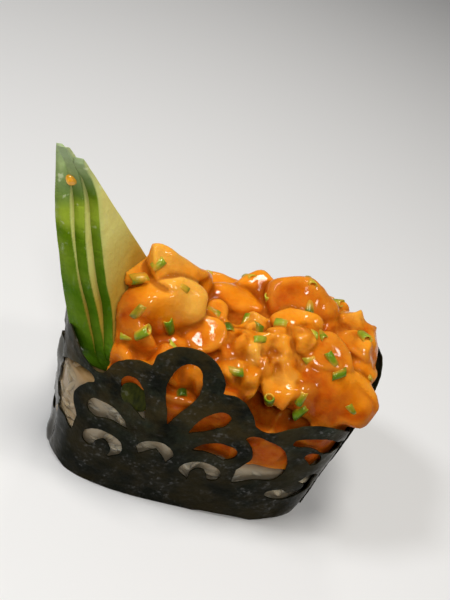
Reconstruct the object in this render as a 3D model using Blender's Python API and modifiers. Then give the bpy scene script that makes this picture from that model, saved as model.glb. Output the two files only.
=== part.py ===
# Salmon gunkan: a lace-cut seaweed strip wrapped round a block of rice, heaped with diced salmon and
# cut chives, with a fan of three cucumber slices standing at its left end.
# +X runs along the long axis, -Y is the ornament's side, and the origin is on the plate under the centre.

import math
import random

import bmesh
import bpy
import numpy as np
from mathutils import Matrix, Vector
from mathutils.bvhtree import BVHTree

MM = 0.001
GAP = 0.3

# Every size below is in millimetres.
BAND_HALF_LENGTH = 26.8
BAND_HALF_WIDTH = 16.05
BAND_CORNER_POWER = 3.26
BAND_FLARE = 0.058
BAND_LEAN = 0.023
BAND_THICKNESS = 0.5
AXIS_FROM_CENTRE = -7.06
LAP_START, LAP_END = -112.1, 46.0
LAP_STEP, LAP_RAMP, LAP_MARGIN = 0.8, 5.5, 3.0
COLUMN_TURN, COLUMN_STEP = math.radians(9), 6.0

ORNAMENT_BASE = 12.0
ORNAMENT_SLANT = 0.0073
ORNAMENT_SHIFT = 0.03

RICE_LEFT, RICE_RIGHT = 26.0, 16.2
RICE_SLOPE_X = (-17.0, 2.0)
RICE_INSET = 1.3
GRAIN_LENGTH, GRAIN_WIDTH = 5.6, 2.3
GRAIN_COUNT = 64

SALMON_CORE_CENTRE = (3.0, 0.0, 25.5)
SALMON_CORE_HALF = (22.0, 14.5, 8.5)
LUMP_POWER, LUMP_UNEVENNESS, FINE_LUMP = 3.2, 0.05, 4.6
SALMON_BED_INSET, SALMON_BED_TOP = -1.0, 27.0
# Where the salmon may hang over the band's low edge at the right end of the lace: two opposite corners.
OVERHANG_LOW, OVERHANG_HIGH = (15.0, -11.9, 27.5), (31.0, -6.8, 50.0)
CHIVE_WIDTH, CHIVE_LENGTH = 2.0, 3.0
VIEWPOINT = (-19.0, -110.8, 126.5)

SLICE_THICKNESS = 2.2
SLICE_TIP = (-28.5, -8.0, 62.2)
SLICE_NORMAL = (0.85, -0.40, 0.35)
SLICE_CHORD = (0.49, 0.34, -0.80)
SLICE_STEPS = ((0.0, 0.0), (-1.2, 0.3), (-1.6, -1.4))


def smooth(u, v):
    return (u, v, "AUTO")


def corner(u, v):
    return (u, v, "VECTOR")


# The ornament's cut-outs, as (distance from its axis, height). The right half is listed and mirrored.
CENTRE_PETAL_HOLE = [corner(0, 22.8), smooth(2.45, 35.6), smooth(0, 39.0), smooth(-2.45, 35.6)]
UPPER_PETAL_HOLE = [
    corner(3.7, 22.2), smooth(4.6, 25.8), smooth(6.0, 29.3), smooth(8.2, 31.0), smooth(9.6, 29.2), smooth(7.4, 25.4),
]
LOWER_PETAL_HOLE = [
    corner(5.8, 18.5), smooth(7.4, 21.0), smooth(11.2, 22.5), smooth(13.7, 20.4), smooth(12.3, 18.0), smooth(9.4, 18.9),
]
SCROLL_HOLE = [
    corner(7.6, 9.3), smooth(5.3, 12.4), smooth(9.0, 15.7), smooth(12.9, 12.7), smooth(11.3, 10.5),
    smooth(10.2, 12.5), smooth(8.9, 13.6), smooth(7.5, 12.0),
]
CHEVRON_HOLE = [
    smooth(0, 18.0), smooth(3.2, 15.7), corner(2.6, 13.0), corner(0, 16.1), corner(-2.6, 13.0), smooth(-3.2, 15.7),
]
CRESCENT_HOLE = [
    smooth(13.7, 26.0), smooth(18.6, 25.2), smooth(22.6, 20.6), smooth(22.6, 14.6), smooth(18.4, 13.0),
    corner(15.3, 11.1), corner(14.9, 15.6), smooth(16.6, 19.6), smooth(15.0, 23.6),
]
ARCH_HOLE = [
    smooth(21.9, 25.4), smooth(25.2, 27.1), smooth(30.0, 25.5), corner(34.3, 22.3), smooth(30.0, 21.8), smooth(25.6, 24.3),
]
VOLUTE_HOLE = [smooth(25.5, 22.4), smooth(28.6, 21.3), smooth(28.2, 19.0), smooth(26.4, 20.2)]
TAIL_HOLE = [
    smooth(22.3, 9.3), smooth(24.4, 11.2), smooth(27.2, 9.8), smooth(29.0, 11.6), corner(27.1, 13.6),
    smooth(29.4, 15.6), smooth(31.6, 11.8), smooth(28.4, 8.1), smooth(24.4, 7.8),
]
PAIRED_HOLES = [
    UPPER_PETAL_HOLE, LOWER_PETAL_HOLE, SCROLL_HOLE, CRESCENT_HOLE, ARCH_HOLE, VOLUTE_HOLE, TAIL_HOLE,
]
# The strip's edge: along the bottom, up the lapped inner end, back over the lace and the plain stretch.
STRIP_EDGE = [
    corner(-112.1, 0.6), smooth(-70, 0.5), smooth(-30, 0.5), smooth(0, 0.3), smooth(30, 0.5), corner(46, 0.6),
    corner(46, 23.0), smooth(38, 23.8), smooth(34, 25.4), smooth(29, 29.1), smooth(24, 30.6), smooth(19.8, 29.0),
    smooth(17, 28.0), smooth(14.4, 29.2), smooth(12.5, 32.6), smooth(9.5, 35.4), corner(6.3, 35.3),
    smooth(5.7, 38.0), smooth(0, 42.4), smooth(-5.7, 38.0), corner(-5.9, 35.0), smooth(-8.4, 34.8),
    smooth(-11.4, 31.8), smooth(-13.4, 27.8), smooth(-16, 28.4), smooth(-19.6, 30.8), smooth(-26, 31.8),
    smooth(-37, 32.0), smooth(-50, 29.8), smooth(-80, 29.6), smooth(-91, 31.2), smooth(-99, 34.0),
    smooth(-105.2, 34.2), smooth(-108, 30.8), smooth(-110.2, 26.4), smooth(-112.1, 23.8),
]

# Salmon pieces: name, centre, half sizes and turn about the vertical in degrees.
SALMON_PIECES = [
    ("prow", (-16.2, -2.5, 43.4), (4.6, 3.8, 3.6), -25),
    ("prow_tip", (-15.4, -1.5, 44.5), (2.4, 2.4, 2.5), 10),
    ("prow_foot", (-9.9, -0.9, 40.2), (5.8, 4.2, 3.8), -15),
    ("left_shoulder", (-10.4, -5.0, 37.6), (6.0, 4.6, 4.5), 10),
    ("left_lobe", (-16.8, -8.5, 36.1), (3.6, 4.4, 6.0), 0),
    ("left_front", (-16.1, -12.5, 32.7), (3.6, 3.2, 4.4), 0),
    ("behind_petal", (-10.0, -12.6, 33.4), (4.6, 3.2, 4.4), 20),
    ("between", (-3.1, 0.0, 34.4), (3.0, 3.4, 2.6), 20),
    ("ridge", (0.6, 5.0, 34.0), (5.8, 5.0, 3.8), -8),
    ("ridge_right", (5.3, 4.5, 35.2), (4.4, 4.6, 3.8), 10),
    ("summit", (11.9, 3.0, 39.6), (5.4, 5.0, 5.0), 20),
    ("summit_right", (15.2, 3.5, 37.2), (4.2, 4.8, 4.2), -15),
    ("right_shoulder", (23.4, 3.0, 33.6), (5.2, 5.0, 4.5), 15),
    ("right_middle", (24.6, -3.0, 32.0), (4.0, 4.2, 4.4), 0),
    ("middle_left", (-4.2, -8.0, 35.2), (3.8, 3.6, 3.2), 15),
    ("middle_pocket", (-6.0, -11.0, 31.8), (3.8, 3.4, 3.4), 0),
    ("centre", (1.8, -7.0, 34.6), (4.0, 3.8, 3.8), 25),
    ("middle", (7.6, -4.0, 33.9), (3.6, 3.8, 2.8), -12),
    ("middle_right", (13.1, -3.5, 36.2), (4.8, 3.8, 3.2), 35),
    ("drip", (7.8, -10.5, 34.8), (4.8, 3.8, 4.4), -6),
    ("drip_tip", (10.8, -13.8, 32.5), (2.2, 2.0, 2.8), 0),
    ("front", (3.6, -12.5, 32.5), (3.6, 3.0, 3.6), 5),
    ("front_left", (-1.6, -12.8, 31.6), (3.6, 3.0, 4.0), -20),
    ("slope_right", (18.0, -6.5, 34.1), (5.0, 4.4, 3.6), -15),
    ("slope_low", (15.7, -11.6, 32.4), (4.4, 3.6, 4.4), 0),
    ("right_front", (23.0, -8.0, 32.2), (5.2, 4.4, 4.4), -20),
    ("right_low", (23.0, -10.8, 30.4), (6.0, 4.0, 4.0), 20),
    ("recess_left", (9.5, -13.6, 26.0), (6.0, 2.6, 5.0), 0),
    ("recess_right", (16.5, -12.4, 26.4), (5.6, 3.2, 5.0), -12),
    ("back_left", (-9.6, 6.0, 31.6), (6.2, 5.4, 4.4), 20),
    ("back_middle", (0.5, 10.6, 30.0), (6.4, 4.6, 4.4), -10),
    ("back_right", (11.0, 9.6, 31.4), (6.4, 4.4, 4.6), 15),
    ("back_far", (19.6, 9.0, 29.4), (5.4, 4.6, 4.4), -15),
]
# Chives, as (x, height) where the line of sight through each crosses the plane y = 0, and a turn.
CHIVES = [
    (0.5, 33.2, 20), (5.4, 34.6, 80), (5.7, 33.0, 120), (8.4, 36.4, 30), (12.2, 39.6, 100), (13.4, 36.0, 75),
    (21.6, 38.2, 10), (25.4, 36.2, 95), (19.4, 29.8, 15), (13.4, 31.6, 60), (2.8, 27.2, 5), (24.8, 33.0, 50),
    (23.0, 26.2, 140), (14.0, 24.2, 60), (4.4, 41.4, 90), (11.4, 46.4, 20), (9.6, 24.2, 100), (-15.4, 31.2, 70),
    (-9.6, 30.8, 110), (-13.8, 27.6, 45), (-16.6, 25.8, 15), (-8.8, 27.0, 80), (-9.0, 40.2, 130), (-16.0, 37.6, 10),
    (-2.6, 36.6, 60), (17.0, 33.6, 160), (17.6, 41.0, 35), (-4.2, 31.0, 150),
]


def material(name, colour, roughness):
    made = bpy.data.materials.new(name)
    made.use_nodes = True
    shader = made.node_tree.nodes["Principled BSDF"]
    shader.inputs["Base Color"].default_value = (*colour, 1)
    shader.inputs["Roughness"].default_value = roughness
    shader.inputs["Metallic"].default_value = 0.0
    return made


def add_object(name, mesh, collection):
    made = bpy.data.objects.new(name, mesh)
    collection.objects.link(made)
    return made


def mesh_from(name, bm):
    mesh = bpy.data.meshes.new(name)
    bm.to_mesh(mesh)
    bm.free()
    return mesh


def new_collection(name, is_helper):
    made = bpy.data.collections.new(name)
    bpy.context.scene.collection.children.link(made)
    made.hide_render = is_helper
    return made


def band_path():
    """The band's centre line at z = 0, as points in millimetres with the distance along it."""
    angle = np.linspace(-math.pi / 2, 1.5 * math.pi, 1441)
    power = 2 / BAND_CORNER_POWER
    x = BAND_HALF_LENGTH * np.sign(np.cos(angle)) * np.abs(np.cos(angle)) ** power
    y = BAND_HALF_WIDTH * np.sign(np.sin(angle)) * np.abs(np.sin(angle)) ** power
    run = np.concatenate([[0], np.cumsum(np.hypot(np.diff(x), np.diff(y)))])
    return x, y, run


PATH_X, PATH_Y, PATH_RUN = band_path()


def path_at(s):
    run = np.mod(s + AXIS_FROM_CENTRE, PATH_RUN[-1])
    return np.interp(run, PATH_RUN, PATH_X), np.interp(run, PATH_RUN, PATH_Y)


def on_band(s, height, outward=0.0):
    """The point, in metres, at s along the band from the ornament's axis, offset outward from its middle layer."""
    x, y = path_at(s)
    ahead_x, ahead_y = path_at(s + 0.8)
    behind_x, behind_y = path_at(s - 0.8)
    along = math.hypot(ahead_x - behind_x, ahead_y - behind_y)
    normal_x, normal_y = (ahead_y - behind_y) / along, (behind_x - ahead_x) / along
    out = BAND_FLARE * height + outward
    return Vector((x + normal_x * out + BAND_LEAN * height, y + normal_y * out, height)) * MM


def turning_columns():
    """Distances along the strip, closer together where the band turns a corner."""
    stops, heading, turned = [LAP_START], None, 0.0
    for run in np.arange(LAP_START, LAP_END, 0.5):
        here, ahead = path_at(run), path_at(run + 0.5)
        angle = math.atan2(ahead[1] - here[1], ahead[0] - here[0])
        if heading is not None:
            turned += abs((angle - heading + math.pi) % (2 * math.pi) - math.pi)
        heading = angle
        if turned > COLUMN_TURN or run - stops[-1] >= COLUMN_STEP:
            stops.append(run)
            turned = 0.0
    return stops[1:]


def column_solid(name, outward, bottom, top_of, collection, sides=64):
    """A closed block with the band's plan, from z = bottom up to top_of(x), outward from the band's middle layer."""
    bm = bmesh.new()
    low, high = [], []
    for side in range(sides):
        s = side * PATH_RUN[-1] / sides - AXIS_FROM_CENTRE
        inset = outward + lap_inset(s, LAP_MARGIN)
        top = top_of(on_band(s, 0.0, outward).x / MM)
        low.append(bm.verts.new(on_band(s, bottom, inset)))
        high.append(bm.verts.new(on_band(s, top, inset)))
    for side in range(sides):
        after = (side + 1) % sides
        bm.faces.new((low[side], low[after], high[after], high[side]))
    bm.faces.new(reversed(low))
    bridge_cap(bm, high)
    return add_object(name, mesh_from(name, bm), collection)


def bridge_cap(bm, loop):
    """Closes a loop by strips across it, which follow a top that slopes along X."""
    start = min(range(len(loop)), key=lambda i: loop[i].co.x)
    order = loop[start:] + loop[:start]
    half = len(order) // 2
    for i in range(half):
        low = (order[i], order[i + 1])
        high = (order[-i % len(order)], order[(-i - 1) % len(order)])
        corners = list(dict.fromkeys((low[0], low[1], high[1], high[0])))
        bm.faces.new(corners)


def outline_curve(name, outlines, extrude, resolution, collection):
    """A filled flat curve from outlines of (x, y, handle) points in millimetres; inner outlines become holes."""
    curve = bpy.data.curves.new(name, "CURVE")
    curve.dimensions = "2D"
    curve.fill_mode = "BOTH"
    curve.extrude = extrude
    curve.resolution_u = resolution
    for outline in outlines:
        spline = curve.splines.new("BEZIER")
        spline.use_cyclic_u = True
        spline.bezier_points.add(len(outline) - 1)
        for point, (x, y, handle) in zip(spline.bezier_points, outline):
            point.co = (x, y, 0)
            point.handle_left_type = point.handle_right_type = handle
    return add_object(name, curve, collection)


def as_mesh(obj, merge=0.0005):
    """Replaces a curve or a modified mesh by its evaluated mesh, with doubled points merged."""
    graph = bpy.context.evaluated_depsgraph_get()
    mesh = bpy.data.meshes.new_from_object(obj.evaluated_get(graph))
    bm = bmesh.new()
    bm.from_mesh(mesh)
    bmesh.ops.remove_doubles(bm, verts=bm.verts, dist=merge)
    bmesh.ops.dissolve_degenerate(bm, edges=bm.edges, dist=merge / 5)
    name, collection, matrix = obj.name, obj.users_collection[0], obj.matrix_world.copy()
    bpy.data.objects.remove(obj)
    bm.transform(matrix)
    mesh = bpy.data.meshes.new(name)
    bm.to_mesh(mesh)
    bm.free()
    return add_object(name, mesh, collection)


def add_boolean(obj, operation, other=None, others=None):
    modifier = obj.modifiers.new(operation.lower(), "BOOLEAN")
    modifier.operation = operation
    modifier.solver = "EXACT"
    if others is None:
        modifier.object = other
    else:
        modifier.operand_type = "COLLECTION"
        modifier.collection = others
    return modifier


def block(name, low, high, collection):
    bm = bmesh.new()
    bmesh.ops.create_cube(bm, size=1.0)
    size = Vector(high) - Vector(low)
    middle = (Vector(high) + Vector(low)) / 2
    bm.transform(Matrix.Scale(MM, 4) @ Matrix.Translation(middle) @ Matrix.Diagonal((*size, 1)))
    return add_object(name, mesh_from(name, bm), collection)


def islands(bm):
    """The mesh's separate bodies, as sets of faces."""
    left = set(bm.faces)
    found = []
    while left:
        body, edge_of = set(), [left.pop()]
        while edge_of:
            face = edge_of.pop()
            body.add(face)
            for edge in face.edges:
                for near in edge.link_faces:
                    if near in left:
                        left.discard(near)
                        edge_of.append(near)
        found.append(body)
    return found


def keep_main_body(obj):
    """Drops the scraps and the sealed hollows that Booleans leave."""
    bm = bmesh.new()
    bm.from_mesh(obj.data)
    bodies = sorted(islands(bm), key=len)
    scraps = [face for body in bodies[:-1] for face in body]
    bmesh.ops.delete(bm, geom=scraps, context="FACES")
    bmesh.ops.triangulate(bm, faces=bm.faces)
    bm.to_mesh(obj.data)
    bm.free()


def empty_collection(collection):
    for obj in list(collection.objects):
        bpy.data.objects.remove(obj)


def mirrored(outline):
    return [(-x, y, handle) for x, y, handle in reversed(outline)]


def slanted(x, y):
    """The wrapped ornament is pulled up on its left: the slant grows with height and fades out to both sides."""
    above = max(y - ORNAMENT_BASE, 0.0)
    share = min(max((26 - abs(x + 6)) / 8, 0.0), 1.0)
    return x + ORNAMENT_SHIFT * above * share, y - ORNAMENT_SLANT * above * x * share


def eased(value, start, end):
    """0 at start, 1 at end, with a smooth step between them."""
    share = min(max((value - start) / (end - start), 0.0), 1.0)
    return share * share * (3 - 2 * share)


def lap_inset(s, margin=0.0):
    """The strip's inner end, under the lap, lies one step further in; the filling keeps clear of it by a margin."""
    rise = eased(s, LAP_START + PATH_RUN[-1] - LAP_RAMP - margin, LAP_START + PATH_RUN[-1] - margin)
    fall = eased(s, LAP_END + margin, LAP_END + margin + LAP_RAMP)
    return -LAP_STEP * (rise - fall)


def make_band(collection):
    holes = [CENTRE_PETAL_HOLE, CHEVRON_HOLE]
    for hole in PAIRED_HOLES:
        holes += [hole, mirrored(hole)]
    flat = as_mesh(outline_curve("seaweed_band", [STRIP_EDGE] + holes, 0.0, 3, collection), merge=0.02)
    bm = bmesh.new()
    bm.from_mesh(flat.data)
    for s in turning_columns():
        everything = bm.verts[:] + bm.edges[:] + bm.faces[:]
        bmesh.ops.bisect_plane(bm, geom=everything, dist=0.02, plane_co=(s, 0, 0), plane_no=(1, 0, 0))
    bmesh.ops.triangulate(bm, faces=bm.faces)
    for vert in bm.verts:
        x, y = slanted(vert.co.x, vert.co.y)
        vert.co = on_band(x, y, lap_inset(vert.co.x))
    bmesh.ops.recalc_face_normals(bm, faces=bm.faces)
    bm.to_mesh(flat.data)
    bm.free()
    shell = flat.modifiers.new("thickness", "SOLIDIFY")
    shell.thickness = BAND_THICKNESS * MM
    shell.offset = 0.0
    flat.data.materials.append(material("seaweed", (0.012, 0.020, 0.012), 0.42))
    return flat


SLICE_OUTLINE = [
    corner(0, 0), smooth(6.6, 4.0), smooth(14.0, 9.2), smooth(22.0, 13.8), smooth(30.0, 16.8), smooth(37.0, 15.6),
    smooth(42.5, 10.5), corner(45.0, 0),
]
POCKET_OUTLINE = [
    corner(-3, -4), corner(-2, 2), smooth(13.0, 10.8), smooth(21.6, 15.4), smooth(30.0, 18.6), smooth(39.2, 17.4),
    smooth(45.2, 12.0), corner(47.6, -4),
]


def slice_frame(step):
    """The slices' plane: local x down the cut edge, y towards the skin, z towards the salmon."""
    normal = Vector(SLICE_NORMAL).normalized()
    down = (Vector(SLICE_CHORD) - normal * normal.dot(Vector(SLICE_CHORD))).normalized()
    to_skin = down.cross(normal)
    along, across = SLICE_STEPS[step]
    pitch = SLICE_THICKNESS + GAP
    origin = Vector(SLICE_TIP) + down * along + to_skin * across - normal * (step * pitch + SLICE_THICKNESS / 2)
    frame = Matrix((down, -to_skin, normal)).transposed().to_4x4()
    frame.translation = origin
    return Matrix.Scale(MM, 4) @ frame


def flipped(outline):
    """The outlines count y towards the skin, which is the frame's -y."""
    return [(x, -y, handle) for x, y, handle in reversed(outline)]


def make_slice(number, step, collection):
    name = f"cucumber_slice_{number}"
    blank = outline_curve(name, [flipped(SLICE_OUTLINE)], SLICE_THICKNESS / 2, 4, collection)
    blank = as_mesh(blank, merge=0.01)
    blank.data.transform(slice_frame(step))
    edge = blank.modifiers.new("soft_edge", "BEVEL")
    edge.width = 0.25 * MM
    edge.limit_method = "ANGLE"
    edge.angle_limit = math.radians(50)
    blank.data.materials.append(material("cucumber", (0.42, 0.52, 0.13), 0.35))
    return blank


def slice_pocket(collection):
    """The space that the fan of slices takes in the rice and the salmon."""
    depth = 3 * SLICE_THICKNESS + 4 * GAP
    pocket = outline_curve("slice_pocket", [flipped(POCKET_OUTLINE)], depth / 2, 3, collection)
    pocket = as_mesh(pocket, merge=0.01)
    pocket.data.transform(slice_frame(1))
    return pocket


def rice_top(x):
    return RICE_LEFT + (RICE_RIGHT - RICE_LEFT) * eased(x, *RICE_SLOPE_X)


def add_grain(name, centre, axis, collection):
    bm = bmesh.new()
    half = Matrix.Diagonal((GRAIN_WIDTH / 2, GRAIN_WIDTH / 2, GRAIN_LENGTH / 2, 1))
    bmesh.ops.create_uvsphere(bm, u_segments=6, v_segments=4, radius=1.0, matrix=half)
    turn = axis.to_track_quat("Z", "Y").to_matrix().to_4x4()
    bm.transform(Matrix.Translation(centre) @ turn @ Matrix.Scale(MM, 4))
    return add_object(name, mesh_from(name, bm), collection)


def make_rice(collection, grains, pocket):
    rice = column_solid("rice_base", -RICE_INSET, 0.0, rice_top, collection)
    chance = random.Random(7)
    inset = -(BAND_THICKNESS / 2 + GAP + GRAIN_WIDTH / 2 + 0.05)
    for i in range(GRAIN_COUNT):
        s = chance.uniform(-36, 36)
        lean = chance.uniform(-1.2, 1.2)
        reach = (GRAIN_WIDTH + (GRAIN_LENGTH - GRAIN_WIDTH) * abs(math.sin(lean))) / 2
        depth = inset + lap_inset(s, LAP_MARGIN)
        column = on_band(s, 0.0, depth)
        height = chance.uniform(7.0, rice_top(column.x / MM) - reach)
        centre = on_band(s, height, depth)
        along = on_band(s + math.cos(lean), height + math.sin(lean), depth) - centre
        add_grain(f"grain_{i}", centre, along, grains)
    add_boolean(rice, "UNION", others=grains)
    add_boolean(rice, "DIFFERENCE", other=pocket)
    rice = as_mesh(rice, merge=0.00002)
    empty_collection(grains)
    keep_main_body(rice)
    rice.data.materials.append(material("rice", (0.72, 0.66, 0.58), 0.5))
    return rice


def add_lump(name, centre, half, turn, collection):
    """A piece with rounded corners: a faceted ball pushed out towards its corners, then made uneven."""
    chance = random.Random(name)
    bm = bmesh.new()
    bmesh.ops.create_icosphere(bm, subdivisions=3 if min(half) >= FINE_LUMP else 2, radius=1.0)
    for vert in bm.verts:
        fullness = sum(abs(value) ** LUMP_POWER for value in vert.co) ** (-1 / LUMP_POWER)
        vert.co *= fullness * (1 + chance.uniform(-LUMP_UNEVENNESS, LUMP_UNEVENNESS))
    tilt = Matrix.Rotation(math.radians(turn), 4, "Z") @ Matrix.Rotation(chance.uniform(-0.3, 0.3), 4, "X")
    size = Matrix.Diagonal((*half, 1))
    bm.transform(Matrix.Scale(MM, 4) @ Matrix.Translation(centre) @ tilt @ size)
    return add_object(name, mesh_from(name, bm), collection)


def add_chive(name, surface, x, height, turn, collection):
    """A chive ring lying on the salmon where the line of sight through (x, 0, height) meets it."""
    eye = Vector(VIEWPOINT) * MM
    sight = (Vector((x, 0, height)) * MM - eye).normalized()
    place, normal, _, _ = surface.ray_cast(eye, sight)
    if place is None:
        return
    side = normal.orthogonal().normalized()
    side.rotate(Matrix.Rotation(math.radians(turn), 4, normal))
    bm = bmesh.new()
    radius = CHIVE_WIDTH / 2
    bmesh.ops.create_cone(bm, cap_ends=True, segments=6, radius1=radius, radius2=radius, depth=CHIVE_LENGTH)
    lay = side.to_track_quat("Z", "Y").to_matrix().to_4x4()
    lift = place + normal * CHIVE_WIDTH * 0.22 * MM
    bm.transform(Matrix.Translation(lift) @ lay @ Matrix.Scale(MM, 4))
    add_object(name, mesh_from(name, bm), collection)


def surface_of(obj):
    graph = bpy.context.evaluated_depsgraph_get()
    return BVHTree.FromObject(obj, graph)


def make_salmon(collection, lumps, cutters, pocket):
    salmon = add_lump("salmon_tartare", SALMON_CORE_CENTRE, SALMON_CORE_HALF, 0, collection)
    for name, centre, half, turn in SALMON_PIECES:
        add_lump(name, centre, half, turn, lumps)
    column_solid("salmon_bed", SALMON_BED_INSET, RICE_RIGHT - 2, lambda x: SALMON_BED_TOP, lumps, sides=32)
    add_boolean(salmon, "UNION", others=lumps)
    salmon = as_mesh(salmon, merge=0.00002)
    empty_collection(lumps)
    surface = surface_of(salmon)
    for i, (x, height, turn) in enumerate(CHIVES):
        add_chive(f"chive_{i}", surface, x, height, turn, lumps)
    clear_of_band = -(BAND_THICKNESS / 2 + GAP)
    inside = column_solid("inside_band", clear_of_band, 2.0, lambda x: 60.0, cutters)
    add_boolean(inside, "UNION", other=block("over_lace_end", OVERHANG_LOW, OVERHANG_HIGH, cutters))
    rice_zone = column_solid("rice_zone", 3.0, -3.0, lambda x: rice_top(x) + GAP, cutters)
    for cutter in (inside, rice_zone, pocket):
        cutter.hide_render = True
        cutter.display_type = "WIRE"
    add_boolean(salmon, "UNION", others=lumps)
    add_boolean(salmon, "INTERSECT", other=inside)
    add_boolean(salmon, "DIFFERENCE", other=rice_zone)
    add_boolean(salmon, "DIFFERENCE", other=pocket)
    salmon = as_mesh(salmon, merge=0.00002)
    empty_collection(lumps)
    keep_main_body(salmon)
    salmon.data.materials.append(material("salmon", (0.86, 0.26, 0.03), 0.25))
    return salmon


def main():
    for obj in list(bpy.data.objects):
        bpy.data.objects.remove(obj)
    sushi = new_collection("salmon_gunkan", is_helper=False)
    cutters = new_collection("cutters", is_helper=True)
    joined = new_collection("joined_shapes", is_helper=True)
    make_band(sushi)
    pocket = slice_pocket(cutters)
    for step in range(len(SLICE_STEPS)):
        make_slice(len(SLICE_STEPS) - step, step, sushi)
    make_rice(sushi, joined, pocket)
    make_salmon(sushi, joined, cutters, pocket)


main()
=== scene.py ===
import math

import bmesh
import bpy
import numpy as np
from mathutils import Matrix, Vector
from mathutils.bvhtree import BVHTree


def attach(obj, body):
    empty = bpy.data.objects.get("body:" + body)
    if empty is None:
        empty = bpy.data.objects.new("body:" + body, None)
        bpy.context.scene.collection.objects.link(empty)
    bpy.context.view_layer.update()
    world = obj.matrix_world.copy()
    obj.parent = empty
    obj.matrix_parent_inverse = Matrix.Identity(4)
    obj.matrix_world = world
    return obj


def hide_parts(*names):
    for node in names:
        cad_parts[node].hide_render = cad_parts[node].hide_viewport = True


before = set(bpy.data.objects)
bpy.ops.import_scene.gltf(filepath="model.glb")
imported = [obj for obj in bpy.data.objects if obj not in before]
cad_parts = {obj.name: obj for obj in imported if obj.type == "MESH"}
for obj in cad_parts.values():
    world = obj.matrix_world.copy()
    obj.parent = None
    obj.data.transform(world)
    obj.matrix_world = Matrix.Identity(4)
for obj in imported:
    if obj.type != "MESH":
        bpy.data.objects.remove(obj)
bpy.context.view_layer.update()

# Lengths are in millimetres until a mesh is made. +X runs along the long axis, -Y is the ornament's side.

viewpoint = (-19.046, -110.765, 126.544)  # where the photo was taken from

# small helpers


def eased(value, start, end):
    # 0 at start, 1 at end, with a smooth step between them
    share = np.clip((value - start) / (end - start), 0.0, 1.0)
    return share * share * (3 - 2 * share)


def latticeNoise(points, size, seed):
    # random values at the corners of a cubic lattice, blended inside each cell with a smooth step: -1 to 1
    table = np.random.default_rng(seed).uniform(-1, 1, 4096)
    scaled = points / size + 500.0
    cell = np.floor(scaled).astype(np.int64)
    part = scaled - cell
    part = part * part * (3 - 2 * part)
    total = np.zeros(len(points))
    for corner in np.ndindex(2, 2, 2):
        near = cell + np.array(corner)
        key = (near[:, 0] * 73856093 ^ near[:, 1] * 19349663 ^ near[:, 2] * 83492791) & 4095
        weight = np.prod(np.where(np.array(corner) == 1, part, 1 - part), axis=1)
        total += table[key] * weight
    return total


def layeredNoise(points, size, seed, layers=3):
    # each layer is half the size and half the height of the one before
    total = np.zeros(len(points))
    for layer in range(layers):
        total += latticeNoise(points, size / 2**layer, seed + layer) / 2**layer
    return total


def noiseVectors(points, size, seed, count):
    # a layered noise for each of the first axes, its seed 10 further on for each
    return np.stack([layeredNoise(points, size, seed + 10 * axis, 2) for axis in range(count)], -1)


def meshFrom(name, points, faceBlocks):
    # points in millimetres; each face block is an array of triangles or of quads
    mesh = bpy.data.meshes.new(name)
    corners = np.concatenate([block.ravel() for block in faceBlocks]).astype(np.int32)
    sizes = np.concatenate([np.full(len(block), block.shape[1]) for block in faceBlocks])
    starts = np.concatenate([[0], np.cumsum(sizes)[:-1]]).astype(np.int32)
    mesh.vertices.add(len(points))
    mesh.vertices.foreach_set("co", (points * 0.001).astype(np.float32).ravel())
    mesh.loops.add(len(corners))
    mesh.loops.foreach_set("vertex_index", corners)
    mesh.polygons.add(len(sizes))
    mesh.polygons.foreach_set("loop_start", starts)
    mesh.update(calc_edges=True)
    mesh.validate()
    mesh.shade_smooth()
    return mesh


def pointsOf(mesh):
    flat = np.empty(len(mesh.vertices) * 3, np.float32)
    mesh.vertices.foreach_get("co", flat)
    return flat.reshape(-1, 3).astype(float) * 1000


def movePoints(mesh, points):
    mesh.vertices.foreach_set("co", (points * 0.001).astype(np.float32).ravel())
    mesh.update()


def normalsOf(mesh):
    flat = np.empty(len(mesh.vertices) * 3, np.float32)
    mesh.vertex_normals.foreach_get("vector", flat)
    return flat.reshape(-1, 3).astype(float)


def setAttribute(mesh, name, values):
    layer = mesh.attributes.new(name, "FLOAT", "POINT")
    layer.data.foreach_set("value", np.asarray(values, np.float32))


def newObject(name, data):
    made = bpy.data.objects.new(name, data)
    bpy.context.scene.collection.objects.link(made)
    return made


def thicken(obj, thickness):
    # half of the thickness goes to each side
    wall = obj.modifiers.new("thickness", "SOLIDIFY")
    wall.thickness = thickness * 0.001
    wall.offset = 0.0


def applied(obj):
    # swaps the object's mesh for its evaluated one and drops the modifiers
    graph = bpy.context.evaluated_depsgraph_get()
    mesh = bpy.data.meshes.new_from_object(obj.evaluated_get(graph))
    obj.modifiers.clear()
    obj.data = mesh
    return mesh


def facingOut(mesh):
    bm = bmesh.new()
    bm.from_mesh(mesh)
    bmesh.ops.remove_doubles(bm, verts=bm.verts, dist=1e-6)
    bmesh.ops.recalc_face_normals(bm, faces=bm.faces)
    bm.to_mesh(mesh)
    bm.free()
    mesh.shade_smooth()


def finished(obj, material, nodes):
    obj.data.materials.clear()
    obj.data.materials.append(material)
    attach(obj, "root")
    if nodes:
        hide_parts(*nodes)
    return obj


def ringSteps(rings, columns):
    # the number of each point of each ring, and of the point beside it
    here = np.arange(rings * columns)
    return here, here // columns * columns + (here + 1) % columns


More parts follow.
